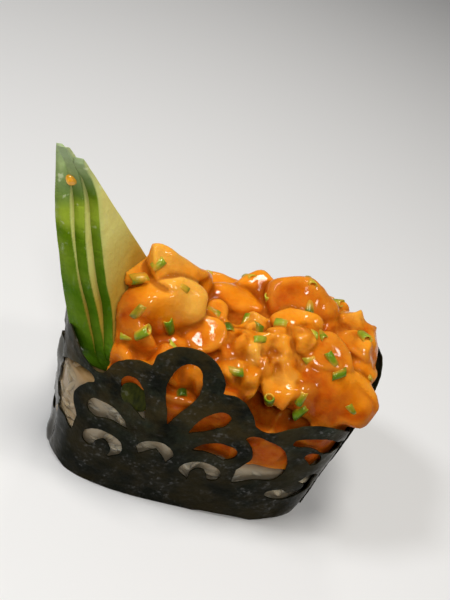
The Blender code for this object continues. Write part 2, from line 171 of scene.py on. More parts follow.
def ballGrid(rows, columns):
    # a ball's points, (sin up cos around, sin up sin around, cos up), and one at each pole
    up = np.pi * np.arange(1, rows) / rows
    around = 2 * np.pi * np.arange(columns) / columns
    ring = np.stack([
        np.sin(up)[:, None] * np.cos(around), np.sin(up)[:, None] * np.sin(around),
        np.repeat(np.cos(up)[:, None], columns, 1),
    ], -1).reshape(-1, 3)
    points = np.concatenate([ring, [[0, 0, 1], [0, 0, -1]]])
    here, beside = ringSteps(rows - 2, columns)
    quads = np.stack([here, here + columns, beside + columns, beside], 1)
    first, second = ringSteps(1, columns)
    last = (rows - 2) * columns
    top = np.stack([np.full(columns, len(ring)), first, second], 1)
    bottom = np.stack([np.full(columns, len(ring) + 1), second + last, first + last], 1)
    return points, quads, np.concatenate([top, bottom])


def manyCopies(shape, faceBlocks):
    # shape is (copies, points, 3); the faces are repeated with their numbers moved on
    copies, count = shape.shape[:2]
    shift = np.arange(copies)[:, None, None] * count
    blocks = [(block[None] + shift).reshape(-1, block.shape[1]) for block in faceBlocks]
    return shape.reshape(-1, 3), blocks


def turnMatrices(axis):
    # for each unit axis, a matrix whose third column is that axis
    helper = np.where(np.abs(axis[:, 2:3]) < 0.9, [[0.0, 0.0, 1.0]], [[1.0, 0.0, 0.0]])
    side = np.cross(helper, axis)
    side /= np.linalg.norm(side, axis=1, keepdims=True)
    return np.stack([side, np.cross(axis, side), axis], -1)


# the band's path, shared by the seaweed, the rice and the salmon

band = {
    "halfLength": 26.8, "halfWidth": 16.05, "cornerPower": 3.26, "flare": 0.058, "lean": 0.023,
    "axisFromCentre": -7.06, "lapStart": -112.1, "lapEnd": 46.0, "lapStep": 0.8, "lapRamp": 5.5,
    "lapMargin": 3.0, "slantBase": 12.0, "slant": 0.0073, "slantShift": 0.03,
}


def bandPath():
    # x and y are a superellipse, |x/a|^n + |y/b|^n = 1, run anticlockwise from the middle of the front
    angle = np.linspace(-np.pi / 2, 1.5 * np.pi, 1441)
    power = 2 / band["cornerPower"]
    x = band["halfLength"] * np.sign(np.cos(angle)) * np.abs(np.cos(angle)) ** power
    y = band["halfWidth"] * np.sign(np.sin(angle)) * np.abs(np.sin(angle)) ** power
    run = np.concatenate([[0], np.cumsum(np.hypot(np.diff(x), np.diff(y)))])
    return x, y, run


pathX, pathY, pathRun = bandPath()
pathLength = pathRun[-1]


def pathAt(s):
    run = np.mod(s + band["axisFromCentre"], pathLength)
    return np.interp(run, pathRun, pathX), np.interp(run, pathRun, pathY)


def pathNormal(s):
    aheadX, aheadY = pathAt(s + 0.8)
    behindX, behindY = pathAt(s - 0.8)
    along = np.hypot(aheadX - behindX, aheadY - behindY)
    return (aheadY - behindY) / along, (behindX - aheadX) / along


def onBand(s, height, outward):
    # the path, moved out by flare times height plus outward, and leaned along x with height
    x, y = pathAt(s)
    normalX, normalY = pathNormal(s)
    out = band["flare"] * height + outward
    return np.stack([x + normalX * out + band["lean"] * height, y + normalY * out, height + 0 * x], -1)


def lapInset(s, margin=0.0):
    # the strip's inner end, under the lap, lies one step further in
    start = band["lapStart"] + pathLength
    rise = eased(s, start - band["lapRamp"] - margin, start - margin)
    fall = eased(s, band["lapEnd"] + margin, band["lapEnd"] + margin + band["lapRamp"])
    return -band["lapStep"] * (rise - fall)


def bandCoordinates(points):
    # for each point: the distance along the band, and how far outside the band's path it lies
    flatX = points[:, 0] - band["lean"] * points[:, 2]
    s = np.arange(0, pathLength, 0.4)
    x, y = pathAt(s)
    normalX, normalY = pathNormal(s)
    nearest = np.empty(len(points), int)
    for part in np.array_split(np.arange(len(points)), max(1, len(points) // 20000)):
        gap = (flatX[part, None] - x) ** 2 + (points[part, 1, None] - y) ** 2
        nearest[part] = gap.argmin(1)
    outward = (flatX - x[nearest]) * normalX[nearest] + (points[:, 1] - y[nearest]) * normalY[nearest]
    return s[nearest], outward - band["flare"] * points[:, 2]


# outlines of the lace: (distance along the strip, height), with a third value at a corner

sharp = True
centrePetalHole = [(0, 22.8, sharp), (2.45, 35.6), (0, 39.0), (-2.45, 35.6)]
chevronHole = [
    (0, 18.0), (3.2, 15.7), (2.6, 13.0, sharp), (0, 16.1, sharp), (-2.6, 13.0, sharp), (-3.2, 15.7),
]
pairedHoles = {
    "upperPetal": [
        (3.7, 22.2, sharp), (4.6, 25.8), (6.0, 29.3), (8.2, 31.0), (9.6, 29.2), (7.4, 25.4),
    ],
    "lowerPetal": [
        (5.8, 18.5, sharp), (7.4, 21.0), (11.2, 22.5), (13.7, 20.4), (12.3, 18.0), (9.4, 18.9),
    ],
    "scroll": [
        (7.6, 9.3, sharp), (5.3, 12.4), (9.0, 15.7), (12.9, 12.7), (11.3, 10.5),
        (10.2, 12.5), (8.9, 13.6), (7.5, 12.0),
    ],
    "crescent": [
        (13.7, 26.0), (18.6, 25.2), (22.6, 20.6), (22.6, 14.6), (18.4, 13.0),
        (15.3, 11.1, sharp), (14.9, 15.6, sharp), (16.6, 19.6), (15.0, 23.6),
    ],
    "arch": [
        (21.9, 25.4), (25.2, 27.1), (30.0, 25.5), (34.3, 22.3, sharp), (30.0, 21.8),
        (25.6, 24.3),
    ],
    "volute": [(25.5, 22.4), (28.6, 21.3), (28.2, 19.0), (26.4, 20.2)],
    "tail": [
        (22.3, 9.3), (24.4, 11.2), (27.2, 9.8), (29.0, 11.6), (27.1, 13.6, sharp),
        (29.4, 15.6), (31.6, 11.8), (28.4, 8.1), (24.4, 7.8),
    ],
}
stripEdge = [
    (-112.1, 0.6, sharp), (-70, 0.5), (-30, 0.5), (0, 0.3), (30, 0.5), (46, 0.6, sharp),
    (46, 23.0, sharp), (38, 23.8), (34, 25.4), (29, 29.1), (24, 30.6), (19.8, 29.0),
    (17, 28.0), (14.4, 29.2), (12.5, 32.6), (9.5, 35.4), (6.3, 35.3, sharp),
    (5.7, 38.0), (0, 42.4), (-5.7, 38.0), (-5.9, 35.0, sharp), (-8.4, 34.8),
    (-11.4, 31.8), (-13.4, 27.8), (-16, 28.4), (-19.6, 30.8), (-26, 31.8),
    (-37, 32.0), (-50, 29.8), (-80, 29.6), (-91, 31.2), (-99, 34.0),
    (-105.2, 34.2), (-108, 30.8), (-110.2, 26.4), (-112.1, 23.8),
]


def outlineLoop(outline, steps=10):
    # cubic curves through the points, closed: a smooth point's arms follow the mean direction to its
    # neighbours, 0.39 of the way to each; a corner's arms reach a third of the way to its neighbours
    place = np.array([point[:2] for point in outline], float)
    isSmooth = np.array([len(point) == 2 for point in outline])[:, None]
    before = place - np.roll(place, 1, 0)
    after = np.roll(place, -1, 0) - place
    reachBefore = np.linalg.norm(before, axis=1, keepdims=True)
    reachAfter = np.linalg.norm(after, axis=1, keepdims=True)
    along = after / reachAfter + before / reachBefore
    arm = along / (np.linalg.norm(along, axis=1, keepdims=True) * 2.5614)
    armIn = np.where(isSmooth, place - arm * reachBefore, place - before / 3)
    armOut = np.where(isSmooth, place + arm * reachAfter, place + after / 3)
    t = (np.arange(steps) / steps)[None, :, None]
    start, end = place[:, None], np.roll(place, -1, 0)[:, None]
    armEnd = np.roll(armIn, -1, 0)[:, None]
    armStart, left = armOut[:, None], 1 - t
    loop = left**3 * start + 3 * left**2 * t * armStart + 3 * left * t**2 * armEnd + t**3 * end
    return loop.reshape(-1, 2)


def signedDistance(points, loop):
    # distance to the nearest side of the loop, negative where an odd number of sides lies to the right
    start, side = loop, np.roll(loop, -1, 0) - loop
    away = points[:, None] - start
    share = np.clip((away * side).sum(-1) / (side**2).sum(-1), 0, 1)
    reach = np.linalg.norm(away - share[..., None] * side, axis=-1).min(1)
    isBelow = start[:, 1] > points[:, 1, None]
    crosses = isBelow != (np.roll(loop, -1, 0)[:, 1] > points[:, 1, None])
    height = np.where(side[:, 1] == 0, 1e-9, side[:, 1])
    crossX = start[:, 0] + away[..., 1] / height * side[:, 0]
    isInside = (crosses & (points[:, 0, None] < crossX)).sum(1) % 2 == 1
    return np.where(isInside, -reach, reach)


def nearLoop(points, loop, reach):
    # signed distance, worked out only for points within reach of the loop's box
    result = np.full(len(points), reach)
    low, high = loop.min(0) - reach, loop.max(0) + reach
    close = np.all((points > low) & (points < high), axis=1)
    picked = np.flatnonzero(close)
    for part in np.array_split(picked, max(1, len(picked) // 4000)):
        result[part] = signedDistance(points[part], loop)
    return result


def keepBelowZero(points, field, triangles):
    # cuts a sheet of triangles along the line where the field is 0 and keeps the negative side
    inside = field < 0
    count = inside[triangles].sum(1)
    whole = triangles[count == 3]
    tip, ear = triangles[count == 1], triangles[count == 2]
    tipFirst = np.argmax(inside[tip], axis=1)
    earFirst = np.argmax(~inside[ear], axis=1)
    order = np.arange(3)
    tip = np.take_along_axis(tip, (order + tipFirst[:, None]) % 3, 1)
    ear = np.take_along_axis(ear, (order + earFirst[:, None]) % 3, 1)
    pairs = np.concatenate([tip[:, [0, 1]], tip[:, [0, 2]], ear[:, [0, 1]], ear[:, [0, 2]]])
    pairs, which = np.unique(np.sort(pairs, axis=1), axis=0, return_inverse=True)
    which = which.reshape(-1) + len(points)
    fieldA, fieldB = field[pairs[:, 0]], field[pairs[:, 1]]
    share = np.clip(fieldA / (fieldA - fieldB), 0.03, 0.97)[:, None]
    cuts = points[pairs[:, 0]] * (1 - share) + points[pairs[:, 1]] * share
    tipA, tipB, earA, earB = np.split(which, np.cumsum([len(tip), len(tip), len(ear)]))
    made = [
        whole, np.stack([tip[:, 0], tipA, tipB], 1),
        np.stack([earA, ear[:, 1], ear[:, 2]], 1), np.stack([earA, ear[:, 2], earB], 1),
    ]
    made = np.concatenate(made)
    used, made = np.unique(made, return_inverse=True)
    return np.concatenate([points, cuts])[used], made.reshape(-1, 3)


def gridSheet(columns, rows):
    # a flat grid of triangles, the cells cut along alternate diagonals
    flat = np.stack(np.meshgrid(columns, rows, indexing="ij"), -1).reshape(-1, 2)
    i, j = np.meshgrid(np.arange(len(columns) - 1), np.arange(len(rows) - 1), indexing="ij")
    here = (i * len(rows) + j).ravel()
    right, up, both = here + len(rows), here + 1, here + len(rows) + 1
    isEven = ((i + j) % 2 == 0).ravel()
    first = np.where(isEven[:, None], np.stack([here, right, both], 1), np.stack([here, right, up], 1))
    second = np.where(isEven[:, None], np.stack([here, both, up], 1), np.stack([right, both, up], 1))
    return flat, np.concatenate([first, second])


def slanted(flat):
    # the ornament is pulled up on its left; the slant grows with height and fades out to both sides
    x, y = flat[:, 0], flat[:, 1]
    above = np.maximum(y - band["slantBase"], 0)
    share = np.clip((26 - np.abs(x + 6)) / 8, 0, 1)
    return x + band["slantShift"] * above * share, y - band["slant"] * above * x * share


edgeLoop = outlineLoop(stripEdge)
topLine = edgeLoop[70:]
topOrder = np.argsort(topLine[:, 0])


def rimHeight(s):
    # the strip's top edge at s, the higher of the two where its ends overlap
    first = np.interp(s, topLine[topOrder, 0], topLine[topOrder, 1], left=0, right=0)
    second = np.interp(s - pathLength, topLine[topOrder, 0], topLine[topOrder, 1], left=0, right=0)
    return np.maximum(first, second)


# node helpers

def addNode(tree, kind, values=None, **settings):
    node = tree.nodes.new(kind)
    for key, value in settings.items():
        setattr(node, key, value)
    for key, value in (values or {}).items():
        node.inputs[key].default_value = value
    return node


def ramp(tree, source, stops):
    # a colour ramp: stops are (place, colour)
    node = addNode(tree, "ShaderNodeValToRGB")
    while len(node.color_ramp.elements) < len(stops):
        node.color_ramp.elements.new(0.5)
    for element, (place, colour) in zip(node.color_ramp.elements, stops):
        element.position = place
        element.color = (*colour, 1)
    tree.links.new(source, node.inputs[0])
    return node.outputs[0]


def mathNode(tree, operation, first, second=None):
    node = addNode(tree, "ShaderNodeMath", operation=operation)
    for socket, value in zip(node.inputs, (first, second)):
        if isinstance(value, (int, float)):
            socket.default_value = value
        elif value is not None:
            tree.links.new(value, socket)
    return node.outputs[0]


def times(tree, first, second):
    return mathNode(tree, "MULTIPLY", first, second)


def blended(tree, share, first, second):
    # the share of the first plus the rest of the second
    return mathNode(tree, "ADD", times(tree, first, share), times(tree, second, 1 - share))


def mixColour(tree, share, first, second):
    node = addNode(tree, "ShaderNodeMix", data_type="RGBA")
    for socket, value in ((node.inputs[0], share), (node.inputs[6], first), (node.inputs[7], second)):
        if isinstance(value, (int, float)):
            socket.default_value = value
        elif isinstance(value, tuple):
            socket.default_value = (*value, 1)
        else:
            tree.links.new(value, socket)
    return node.outputs[2]


def newMaterial(name, **uniform):
    made = bpy.data.materials.new(name)
    made.use_nodes = True
    shader = made.node_tree.nodes["Principled BSDF"]
    for key, value in uniform.items():
        shader.inputs[key.replace("_", " ")].default_value = value
    return made, made.node_tree, shader


def between(tree, source, start, end, high, low=0.0):
    # low at start and high plus low at end
    values = {"From Min": start, "From Max": end, "To Min": low, "To Max": low + high}
    node = addNode(tree, "ShaderNodeMapRange", values)
    tree.links.new(source, node.inputs["Value"])
    return node.outputs["Result"]


def attributeOut(tree, name):
    return addNode(tree, "ShaderNodeAttribute", attribute_name=name).outputs["Fac"]


def makeMottleGroup():
    # blotches of a given size, stretched along z, from Object coordinates: a mask from 0 to 1
    group = bpy.data.node_groups.new("mottle", "ShaderNodeTree")
    for name in ("Size", "Roughness", "Low", "High", "Stretch"):
        kind = "NodeSocketVector" if name == "Stretch" else "NodeSocketFloat"
        group.interface.new_socket(name, in_out="INPUT", socket_type=kind)
    group.interface.new_socket("Mask", in_out="OUTPUT", socket_type="NodeSocketFloat")
    start = addNode(group, "NodeGroupInput").outputs
    place = addNode(group, "ShaderNodeTexCoord")
    stretch = addNode(group, "ShaderNodeVectorMath", operation="MULTIPLY")
    noise = addNode(group, "ShaderNodeTexNoise", {"Detail": 5.0})
    spread = addNode(group, "ShaderNodeMapRange")
    end = addNode(group, "NodeGroupOutput")
    for source, target in (
        (place.outputs["Object"], stretch.inputs[0]), (start["Stretch"], stretch.inputs[1]),
        (stretch.outputs[0], noise.inputs["Vector"]), (start["Size"], noise.inputs["Scale"]),
        (start["Roughness"], noise.inputs["Roughness"]), (noise.outputs["Fac"], spread.inputs["Value"]),
        (start["Low"], spread.inputs["From Min"]), (start["High"], spread.inputs["From Max"]),
        (spread.outputs["Result"], end.inputs["Mask"]),
    ):
        group.links.new(source, target)
    return group


mottleGroup = makeMottleGroup()


def mottle(tree, size, low=0.4, high=0.6, roughness=0.5, stretch=(1, 1, 1)):
    node = addNode(tree, "ShaderNodeGroup", node_tree=mottleGroup)
    for socket, value in zip(node.inputs, (size, roughness, low, high, stretch)):
        socket.default_value = value
    return node.outputs["Mask"]


def bump(tree, shader, height, strength, distance):
    node = addNode(tree, "ShaderNodeBump", {"Strength": strength, "Distance": distance})
    tree.links.new(height, node.inputs["Height"])
    tree.links.new(node.outputs["Normal"], shader.inputs["Normal"])


# seaweed

seaweed = {
    "cell": 0.37, "top": 42.6, "thickness": 0.24, "raggedness": 0.09, "footRaggedness": 0.8,
    "wave": 0.22, "leather": 0.06, "folds": 0.60,
    # the folds' places along the strip: middle, reach where they end and where they are full, strength
    "foldPlaces": [(-28, 13, 6, 1.0), (37, 10, 3, 0.7)],
    "leafColour": (0.0045, 0.0048, 0.0022), "paleColour": (0.030, 0.036, 0.021),
    # the brown is partly the leaf's own and partly painted light shining through the petals
    "brownBacklightColour": (0.046, 0.031, 0.008),
}


def seaweedMaterial():
    made, tree, shader = newMaterial(
        "seaweedLeaf", IOR=1.4, Specular_IOR_Level=0.05, Specular_Tint=(0.75, 0.85, 0.72, 1),
        Coat_Roughness=0.12, Coat_IOR=1.6,
    )
    blotch = mottle(tree, 190.0, 0.42, 0.64, 0.65)
    fibre = mottle(tree, 900.0, 0.32, 0.68, 0.6, stretch=(1.0, 1.0, 0.5))
    blotch = times(tree, blotch, attributeOut(tree, "paleness"))
    pale = times(tree, blotch, between(tree, fibre, 0.0, 1.0, 0.75, 0.25))
    colour = mixColour(tree, pale, seaweed["leafColour"], seaweed["paleColour"])
    # brown blotches of the leaf itself, more of them on the upper petals as painted light shining through from
    # behind
    brown = times(tree, mottle(tree, 150.0, 0.40, 0.62, 0.6), attributeOut(tree, "brownAndBacklight"))
    colour = mixColour(tree, brown, colour, seaweed["brownBacklightColour"])
    tree.links.new(colour, shader.inputs["Base Color"])
    wet = mottle(tree, 260.0, 0.46, 0.62, 0.65)
    tree.links.new(between(tree, wet, 0.0, 1.0, -0.22, 0.55), shader.inputs["Roughness"])
    specks = times(tree, times(tree, mottle(tree, 1500.0, 0.57, 0.62, 0.5), 0.5), wet)
    shine = mathNode(tree, "MAXIMUM", specks, times(tree, attributeOut(tree, "fold"), 0.8))
    tree.links.new(shine, shader.inputs["Coat Weight"])
    leather = mottle(tree, 620.0, 0.25, 0.75, 0.6)
    bump(tree, shader, mathNode(tree, "ADD", times(tree, fibre, 0.3), leather), 0.35, 0.00035)
    return made


def makeSeaweed():
    # a flat grid over (distance along the strip, height), cut along the outlines' signed distance, then
    # wrapped: path + outward normal times (flare times height + lap step + waves + leather + folds)
    cell = seaweed["cell"]
    columns = np.arange(band["lapStart"] - cell, band["lapEnd"] + 2 * cell, cell)
    rows = np.arange(0.06, seaweed["top"] + 2 * cell, cell)
    flat, triangles = gridSheet(columns, rows)
    spot = np.pad(flat, ((0, 0), (0, 1)))
    ragged = seaweed["raggedness"] * layeredNoise(spot, 1.6, 11)
    field = nearLoop(flat, edgeLoop, 1.5)
    holes = [centrePetalHole, chevronHole]
    for outline in pairedHoles.values():
        holes += [outline, [(-point[0], *point[1:]) for point in outline[::-1]]]
    for outline in holes:
        field = np.maximum(field, -nearLoop(flat, outlineLoop(outline), 1.5))
    foot = seaweed["footRaggedness"] * eased(flat[:, 1], 3.0, 0.6)
    field = field + ragged + foot * latticeNoise(spot, 4.5, 15)
    flat, triangles = keepBelowZero(flat, field, triangles)
    x, height = slanted(flat)
    spot = np.stack([x, height, 0 * x], -1)
    lift = seaweed["wave"] * layeredNoise(spot, 9.0, 21, 2)
    lift += seaweed["leather"] * layeredNoise(spot, 1.3, 31, 2)
    # upright folds at both ends of the oval, fading out towards the top edge
    folded = 0 * x
    for middle, end, full, strength in seaweed["foldPlaces"]:
        folded += strength * eased(np.abs(x - middle), end, full)
    folded = np.clip(folded, 0, 1) * (1 - 0.8 * eased(height, 20.0, 30.0))
    lift += seaweed["folds"] * folded * layeredNoise(spot * [1, 0.16, 1], 1.9, 41, 2)
    lift *= eased(height, 0.2, 4.0) * 0.8 + 0.2
    points = onBand(x, height, lapInset(x) + lift)
    obj = newObject("seaweedStrip", meshFrom("seaweedStrip", points, [triangles]))
    setAttribute(obj.data, "fold", folded)
    # the upper petals get more brown as painted light shining through them from behind; elsewhere the brown is
    # the leaf's own
    petals = eased(height, 17.0, 30.0) * eased(np.abs(x), 26.0, 14.0)
    setAttribute(obj.data, "brownAndBacklight", 0.35 + 0.55 * petals)
    setAttribute(obj.data, "paleness", 0.10 + 1.1 * eased(height, 8.0, 26.0))
    thicken(obj, seaweed["thickness"])
    mesh = applied(obj)
    mesh.shade_smooth()
    mesh.set_sharp_from_angle(angle=math.radians(50))
    finished(obj, seaweedMaterial(), ["seaweed_band"])
    print("seaweed:", len(mesh.polygons), "faces")


# cucumber fan

cucumber = {
    # from the slice next to the salmon outwards
    "thickness": (1.75, 1.90, 2.60), "gap": -0.12, "round": 0.20, "cell": 0.34,
    # share of the thickness left at the tip, its growth further down, reach of the skin over the face
    "tipShare": (1.0, 0.8, 0.4), "growth": (0.0, 0.0, 1.2), "skinReach": (0.25, 0.4, 0.4),
    "tip": (-28.5, -8.0, 62.2), "normal": (0.85, -0.40, 0.35), "chord": (0.49, 0.34, -0.80),
    "waviness": 0.07, "skinColour": (0.120, 0.215, 0.005), "skinPale": (0.310, 0.410, 0.035),
    "skinLow": (0.050, 0.145, 0.004), "underSkin": (0.660, 0.740, 0.240),
    # the orange flesh colour further down is partly the salmon's juice and partly painted shade and painted
    # light thrown back by the salmon
    "fleshColour": (0.800, 0.760, 0.240), "juiceAndShadeColour": (0.500, 0.310, 0.030),
    # the tip's pale green-grey is a painted sheen, and the near-white colour beside it painted glints
    "tipSheenColour": (0.36, 0.45, 0.27), "glintColour": (0.80, 0.85, 0.55),
    # the egg lies on the line of sight through this point
    "eggSight": (-30.9, -8.0, 59.4), "eggColour": (0.98, 0.42, 0.015), "eggRadius": 0.85,
}
# one outline a slice, from the one next to the salmon outwards: distances down the cut edge and to the skin
sliceOutlines = [
    [
        (-2.4, -0.1, sharp), (-1.9, 0.5), (-0.6, 0.75), (2.2, 1.15), (4.9, 2.1), (8.8, 4.8),
        (12.3, 7.1), (16.1, 9.4), (22.0, 12.3), (25.3, 15.0), (29.0, 17.6), (34.0, 18.2),
        (40.0, 13.5), (45.0, 0, sharp),
    ],
    [
        (-4.7, 0.2, sharp), (-3.5, 0.4), (-1.9, 0.5), (-0.2, 0.95), (2.0, 1.9),
        (4.0, 3.1), (7.6, 6.1), (10.9, 8.5), (14.7, 10.8), (20.8, 13.5),
        (25.2, 15.8), (29.8, 18.0), (35.0, 17.8), (40.0, 13.2), (44.0, 0, sharp),
        (-3.8, -0.5, sharp),
    ],
    [
        (-2.5, -1.9, sharp), (-2.0, -1.3), (-1.0, -0.3), (0.4, 1.1), (3.4, 4.1),
        (6.8, 7.0), (10.6, 9.3), (14.5, 11.6), (20.4, 14.4), (25.2, 16.5),
        (29.5, 18.0), (34.0, 18.2), (39.0, 14.0), (43.0, 0, sharp), (2.0, -1.9, sharp),
    ],
]


def sliceAxes():
    normal = np.array(cucumber["normal"])
    normal = normal / np.linalg.norm(normal)
    down = np.array(cucumber["chord"])
    down = down - normal * normal.dot(down)
    down /= np.linalg.norm(down)
    return down, np.cross(down, normal), normal


def sliceBack(step):
    # how far the middle of a slice's thickness lies behind the face next to the salmon
    before = sum(cucumber["thickness"][:step]) + step * cucumber["gap"]
    return before + cucumber["thickness"][step] / 2


def toSlice(points):
    # coordinates down the cut edge, towards the skin and out of the face next to the salmon
    down, toSkin, normal = sliceAxes()
    away = points - cucumber["tip"]
    return np.stack([away @ down, away @ toSkin, away @ normal], -1)


def fanDistance(points, reach=6.0):
    # distance to the nearest slice, negative inside; no more than reach is worked out
    local = toSlice(points)
    nearest = np.full(len(points), reach)
    for step, thickness in enumerate(cucumber["thickness"]):
        flat = nearLoop(local[:, :2], outlineLoop(sliceOutlines[step], 5), reach)
        through = np.abs(local[:, 2] + sliceBack(step)) - thickness / 2
        nearest = np.minimum(nearest, np.maximum(flat, through))
    return nearest


def cucumberMaterial():
    made, tree, shader = newMaterial(
        "cucumberSlice", IOR=1.36, Specular_IOR_Level=0.04, Specular_Tint=(0.75, 0.85, 0.15, 1),
        Subsurface_Weight=0.1, Subsurface_Scale=0.003, Subsurface_Radius=(0.7, 1.0, 0.3),
        Coat_Roughness=0.06, Coat_IOR=1.4,
    )
    depth = attributeOut(tree, "skinDepth")
    down = attributeOut(tree, "down")
    bands = mottle(tree, 230.0, 0.40, 0.60, 0.35, stretch=(0.45, 0.45, 1.0))
    skin = mixColour(tree, bands, cucumber["skinColour"], cucumber["skinPale"])
    skin = mixColour(tree, between(tree, down, 6.0, 16.0, 0.75), skin, cucumber["skinLow"])
    # painted sheen: towards the tip the skin is painted a pale green-grey
    skin = mixColour(tree, between(tree, down, 4.5, -3.0, 0.9), skin, cucumber["tipSheenColour"])
    flesh = ramp(tree, mathNode(tree, "DIVIDE", depth, 16.0), [
        (0.0, cucumber["underSkin"]), (0.10, cucumber["fleshColour"]), (1.0, cucumber["fleshColour"]),
    ])
    # further down the flesh is painted orange and darker: partly the salmon's juice, partly painted shade and
    # painted light thrown back by the salmon
    flesh = mixColour(tree, between(tree, down, 11.0, 20.0, 0.9), flesh, cucumber["juiceAndShadeColour"])
    cloud = times(tree, mottle(tree, 260.0, 0.35, 0.75), 0.3)
    flesh = mixColour(tree, cloud, flesh, cucumber["juiceAndShadeColour"])
    # painted sheen: towards the tip the flesh is painted a pale green-grey
    flesh = mixColour(tree, between(tree, down, 5.0, -3.0, 0.7), flesh, cucumber["tipSheenColour"])
    colour = mixColour(tree, between(tree, depth, 0.04, 0.34, 1.0), skin, flesh)
    # painted highlight: small near-white glints painted on the upper part of the slices
    paintedGlints = times(tree, mottle(tree, 620.0, 0.64, 0.70), between(tree, down, 11.0, 6.0, 0.5))
    colour = mixColour(tree, paintedGlints, colour, cucumber["glintColour"])
    tree.links.new(colour, shader.inputs["Base Color"])
    tree.links.new(between(tree, mottle(tree, 600.0), 1.0, 0.0, 0.25, 0.25), shader.inputs["Roughness"])
    shine = mottle(tree, 520.0, 0.56, 0.66, 0.6, stretch=(1.0, 1.0, 0.6))
    tree.links.new(shine, shader.inputs["Coat Weight"])
    bump(tree, shader, mottle(tree, 900.0, 0.25, 0.75, 0.6), 0.35, 0.0003)
    return made


def makeSlice(name, step, material, node):
    # a flat grid cut along the outline, given thickness and a rounded edge, then laid in the slice's plane
    outline = sliceOutlines[step]
    loop = outlineLoop(outline, 12)
    low, high = loop.min(0) - 1.0, loop.max(0) + 1.0
    columns = np.arange(low[0], high[0], cucumber["cell"])
    rows = np.arange(low[1], high[1], cucumber["cell"])
    flat, triangles = gridSheet(columns, rows)
    flat, triangles = keepBelowZero(flat, signedDistance(flat, loop), triangles)
    obj = newObject(name, meshFrom(name, np.pad(flat, ((0, 0), (0, 1))), [triangles]))
    weld = obj.modifiers.new("weld", "WELD")
    weld.merge_threshold = 0.00011
    thicken(obj, cucumber["thickness"][step])
    edge = obj.modifiers.new("round", "BEVEL")
    edge.width = cucumber["round"] * 0.001
    edge.segments = 3
    edge.limit_method = "ANGLE"
    edge.angle_limit = math.radians(50)
    mesh = applied(obj)
    local = pointsOf(mesh)
    skinEnd = min(rank for rank, point in enumerate(outline) if rank and len(point) == 3)
    skinLine = outlineLoop(outline, 40)[: skinEnd * 40]
    depth = np.full(len(local), 20.0)
    for part in np.array_split(np.arange(len(local)), 1 + len(local) // 2000):
        depth[part] = np.linalg.norm(local[part, None, :2] - skinLine, axis=-1).min(1)
    face = cucumber["thickness"][step] / 2
    rounding = cucumber["round"]
    depth += 0.22 * eased(local[:, 2], face - 0.96 * rounding, face - 0.3 * rounding)
    setAttribute(mesh, "skinDepth", np.maximum(depth - cucumber["skinReach"][step], 0))
    setAttribute(mesh, "down", local[:, 0])
    # further down the slice may grow thicker, away from the salmon
    growth = 1 + cucumber["growth"][step] / (2 * face) * eased(local[:, 0], 6.0, 25.0)
    local[:, 2] = face - (face - local[:, 2]) * growth
    # towards the tip the slice thins out from the face next to the salmon
    share = cucumber["tipShare"][step]
    local[:, 2] = (local[:, 2] + face) * (share + (1 - share) * eased(local[:, 0], -3.0, 2.0)) - face
    spot = local + [step * 40.0, 0, 0]
    local[:, 2] += cucumber["waviness"] * layeredNoise(spot * [1, 1, 0.0], 9.0, 51, 2)
    local[:, :2] += cucumber["waviness"] * noiseVectors(spot, 2.5, 61, 2)
    down, toSkin, normal = sliceAxes()
    middle = np.array(cucumber["tip"]) - normal * sliceBack(step)
    points = middle + local[:, :1] * down + local[:, 1:2] * toSkin + local[:, 2:] * normal
    movePoints(mesh, points)
    facingOut(mesh)
    return finished(obj, material, [node])


def makeCucumber():
    material = cucumberMaterial()
    slices = []
    for step in range(3):
        number = 3 - step
        slices.append(makeSlice(f"cucumberSlice{number}", step, material, f"cucumber_slice_{number}"))
    print("cucumber: 3 slices")
    return slices


def makeEgg(slices):
    # a ball, a little flattened and uneven, half sunk where the line of sight meets the fan
    graph = bpy.context.evaluated_depsgraph_get()
    eye = Vector(viewpoint) * 0.001
    sight = (Vector(cucumber["eggSight"]) * 0.001 - eye).normalized()
    hits = [BVHTree.FromObject(part, graph).ray_cast(eye, sight) for part in slices]
    place, normal, _, _ = min((hit for hit in hits if hit[0] is not None), key=lambda hit: hit[3])
    ball, quads, triangles = ballGrid(16, 24)
    ball = ball * (1 + 0.12 * layeredNoise(ball + 20, 1.1, 171, 2))[:, None]
    shape = ball * cucumber["eggRadius"] * [1.1, 1.0, 0.9]
    shape[:, 0] *= 1 + 0.35 * shape[:, 1]
    shape = shape @ turnMatrices(np.array([normal]))[0].T + np.array(place) * 1000
    mesh = meshFrom("fishEgg", shape, [quads, triangles])
    facingOut(mesh)
    made, tree, shader = newMaterial(
        "fishEgg", IOR=1.38, Roughness=0.25, Coat_Weight=0.5,
        Subsurface_Weight=0.2, Subsurface_Scale=0.002, Subsurface_Radius=(1.0, 0.3, 0.05),
    )
    cloud = mottle(tree, 900.0, 0.35, 0.65)
    colour = mixColour(tree, cloud, cucumber["eggColour"], salmon["paleColour"])
    tree.links.new(colour, shader.inputs["Base Color"])
    bump(tree, shader, mottle(tree, 1800.0, 0.2, 0.8), 0.15, 0.0001)
    finished(newObject("fishEgg", mesh), made, [])
    print("fish egg: 1")


# rice

rice = {
    "leftTop": 26.0, "rightTop": 16.2, "slopeX": (-17.0, 2.0), "grainLength": 5.4, "grainWidth": 2.25,
    # the wall's grains: reach along the strip, reach in height, pitch and jitter of both
    "alongReach": (-48, 56), "heightReach": (1.2, 25.5), "wallPitch": (2.6, 1.75), "wallJitter": (1.1, 0.7),
    "wallDepth": 1.55, "depthSpread": (-0.6, 0.12),
    "maxLean": 1.35, "topPitch": 2.5, "topJitter": 0.8, "topInset": 3.2, "lengthSpread": (0.86, 1.08),
    "widthSpread": (0.88, 1.06), "bend": 0.25, "drawnIn": 0.22, "seed": 5,
    "coreSides": 120, "coreRelief": 0.25,
    "paleColour": (0.53, 0.44, 0.31), "dullColour": (0.34, 0.265, 0.17), "leftEndBrownColour": (0.30, 0.17, 0.05),
}


def riceTop(x):
    return rice["leftTop"] + (rice["rightTop"] - rice["leftTop"]) * eased(x, *rice["slopeX"])


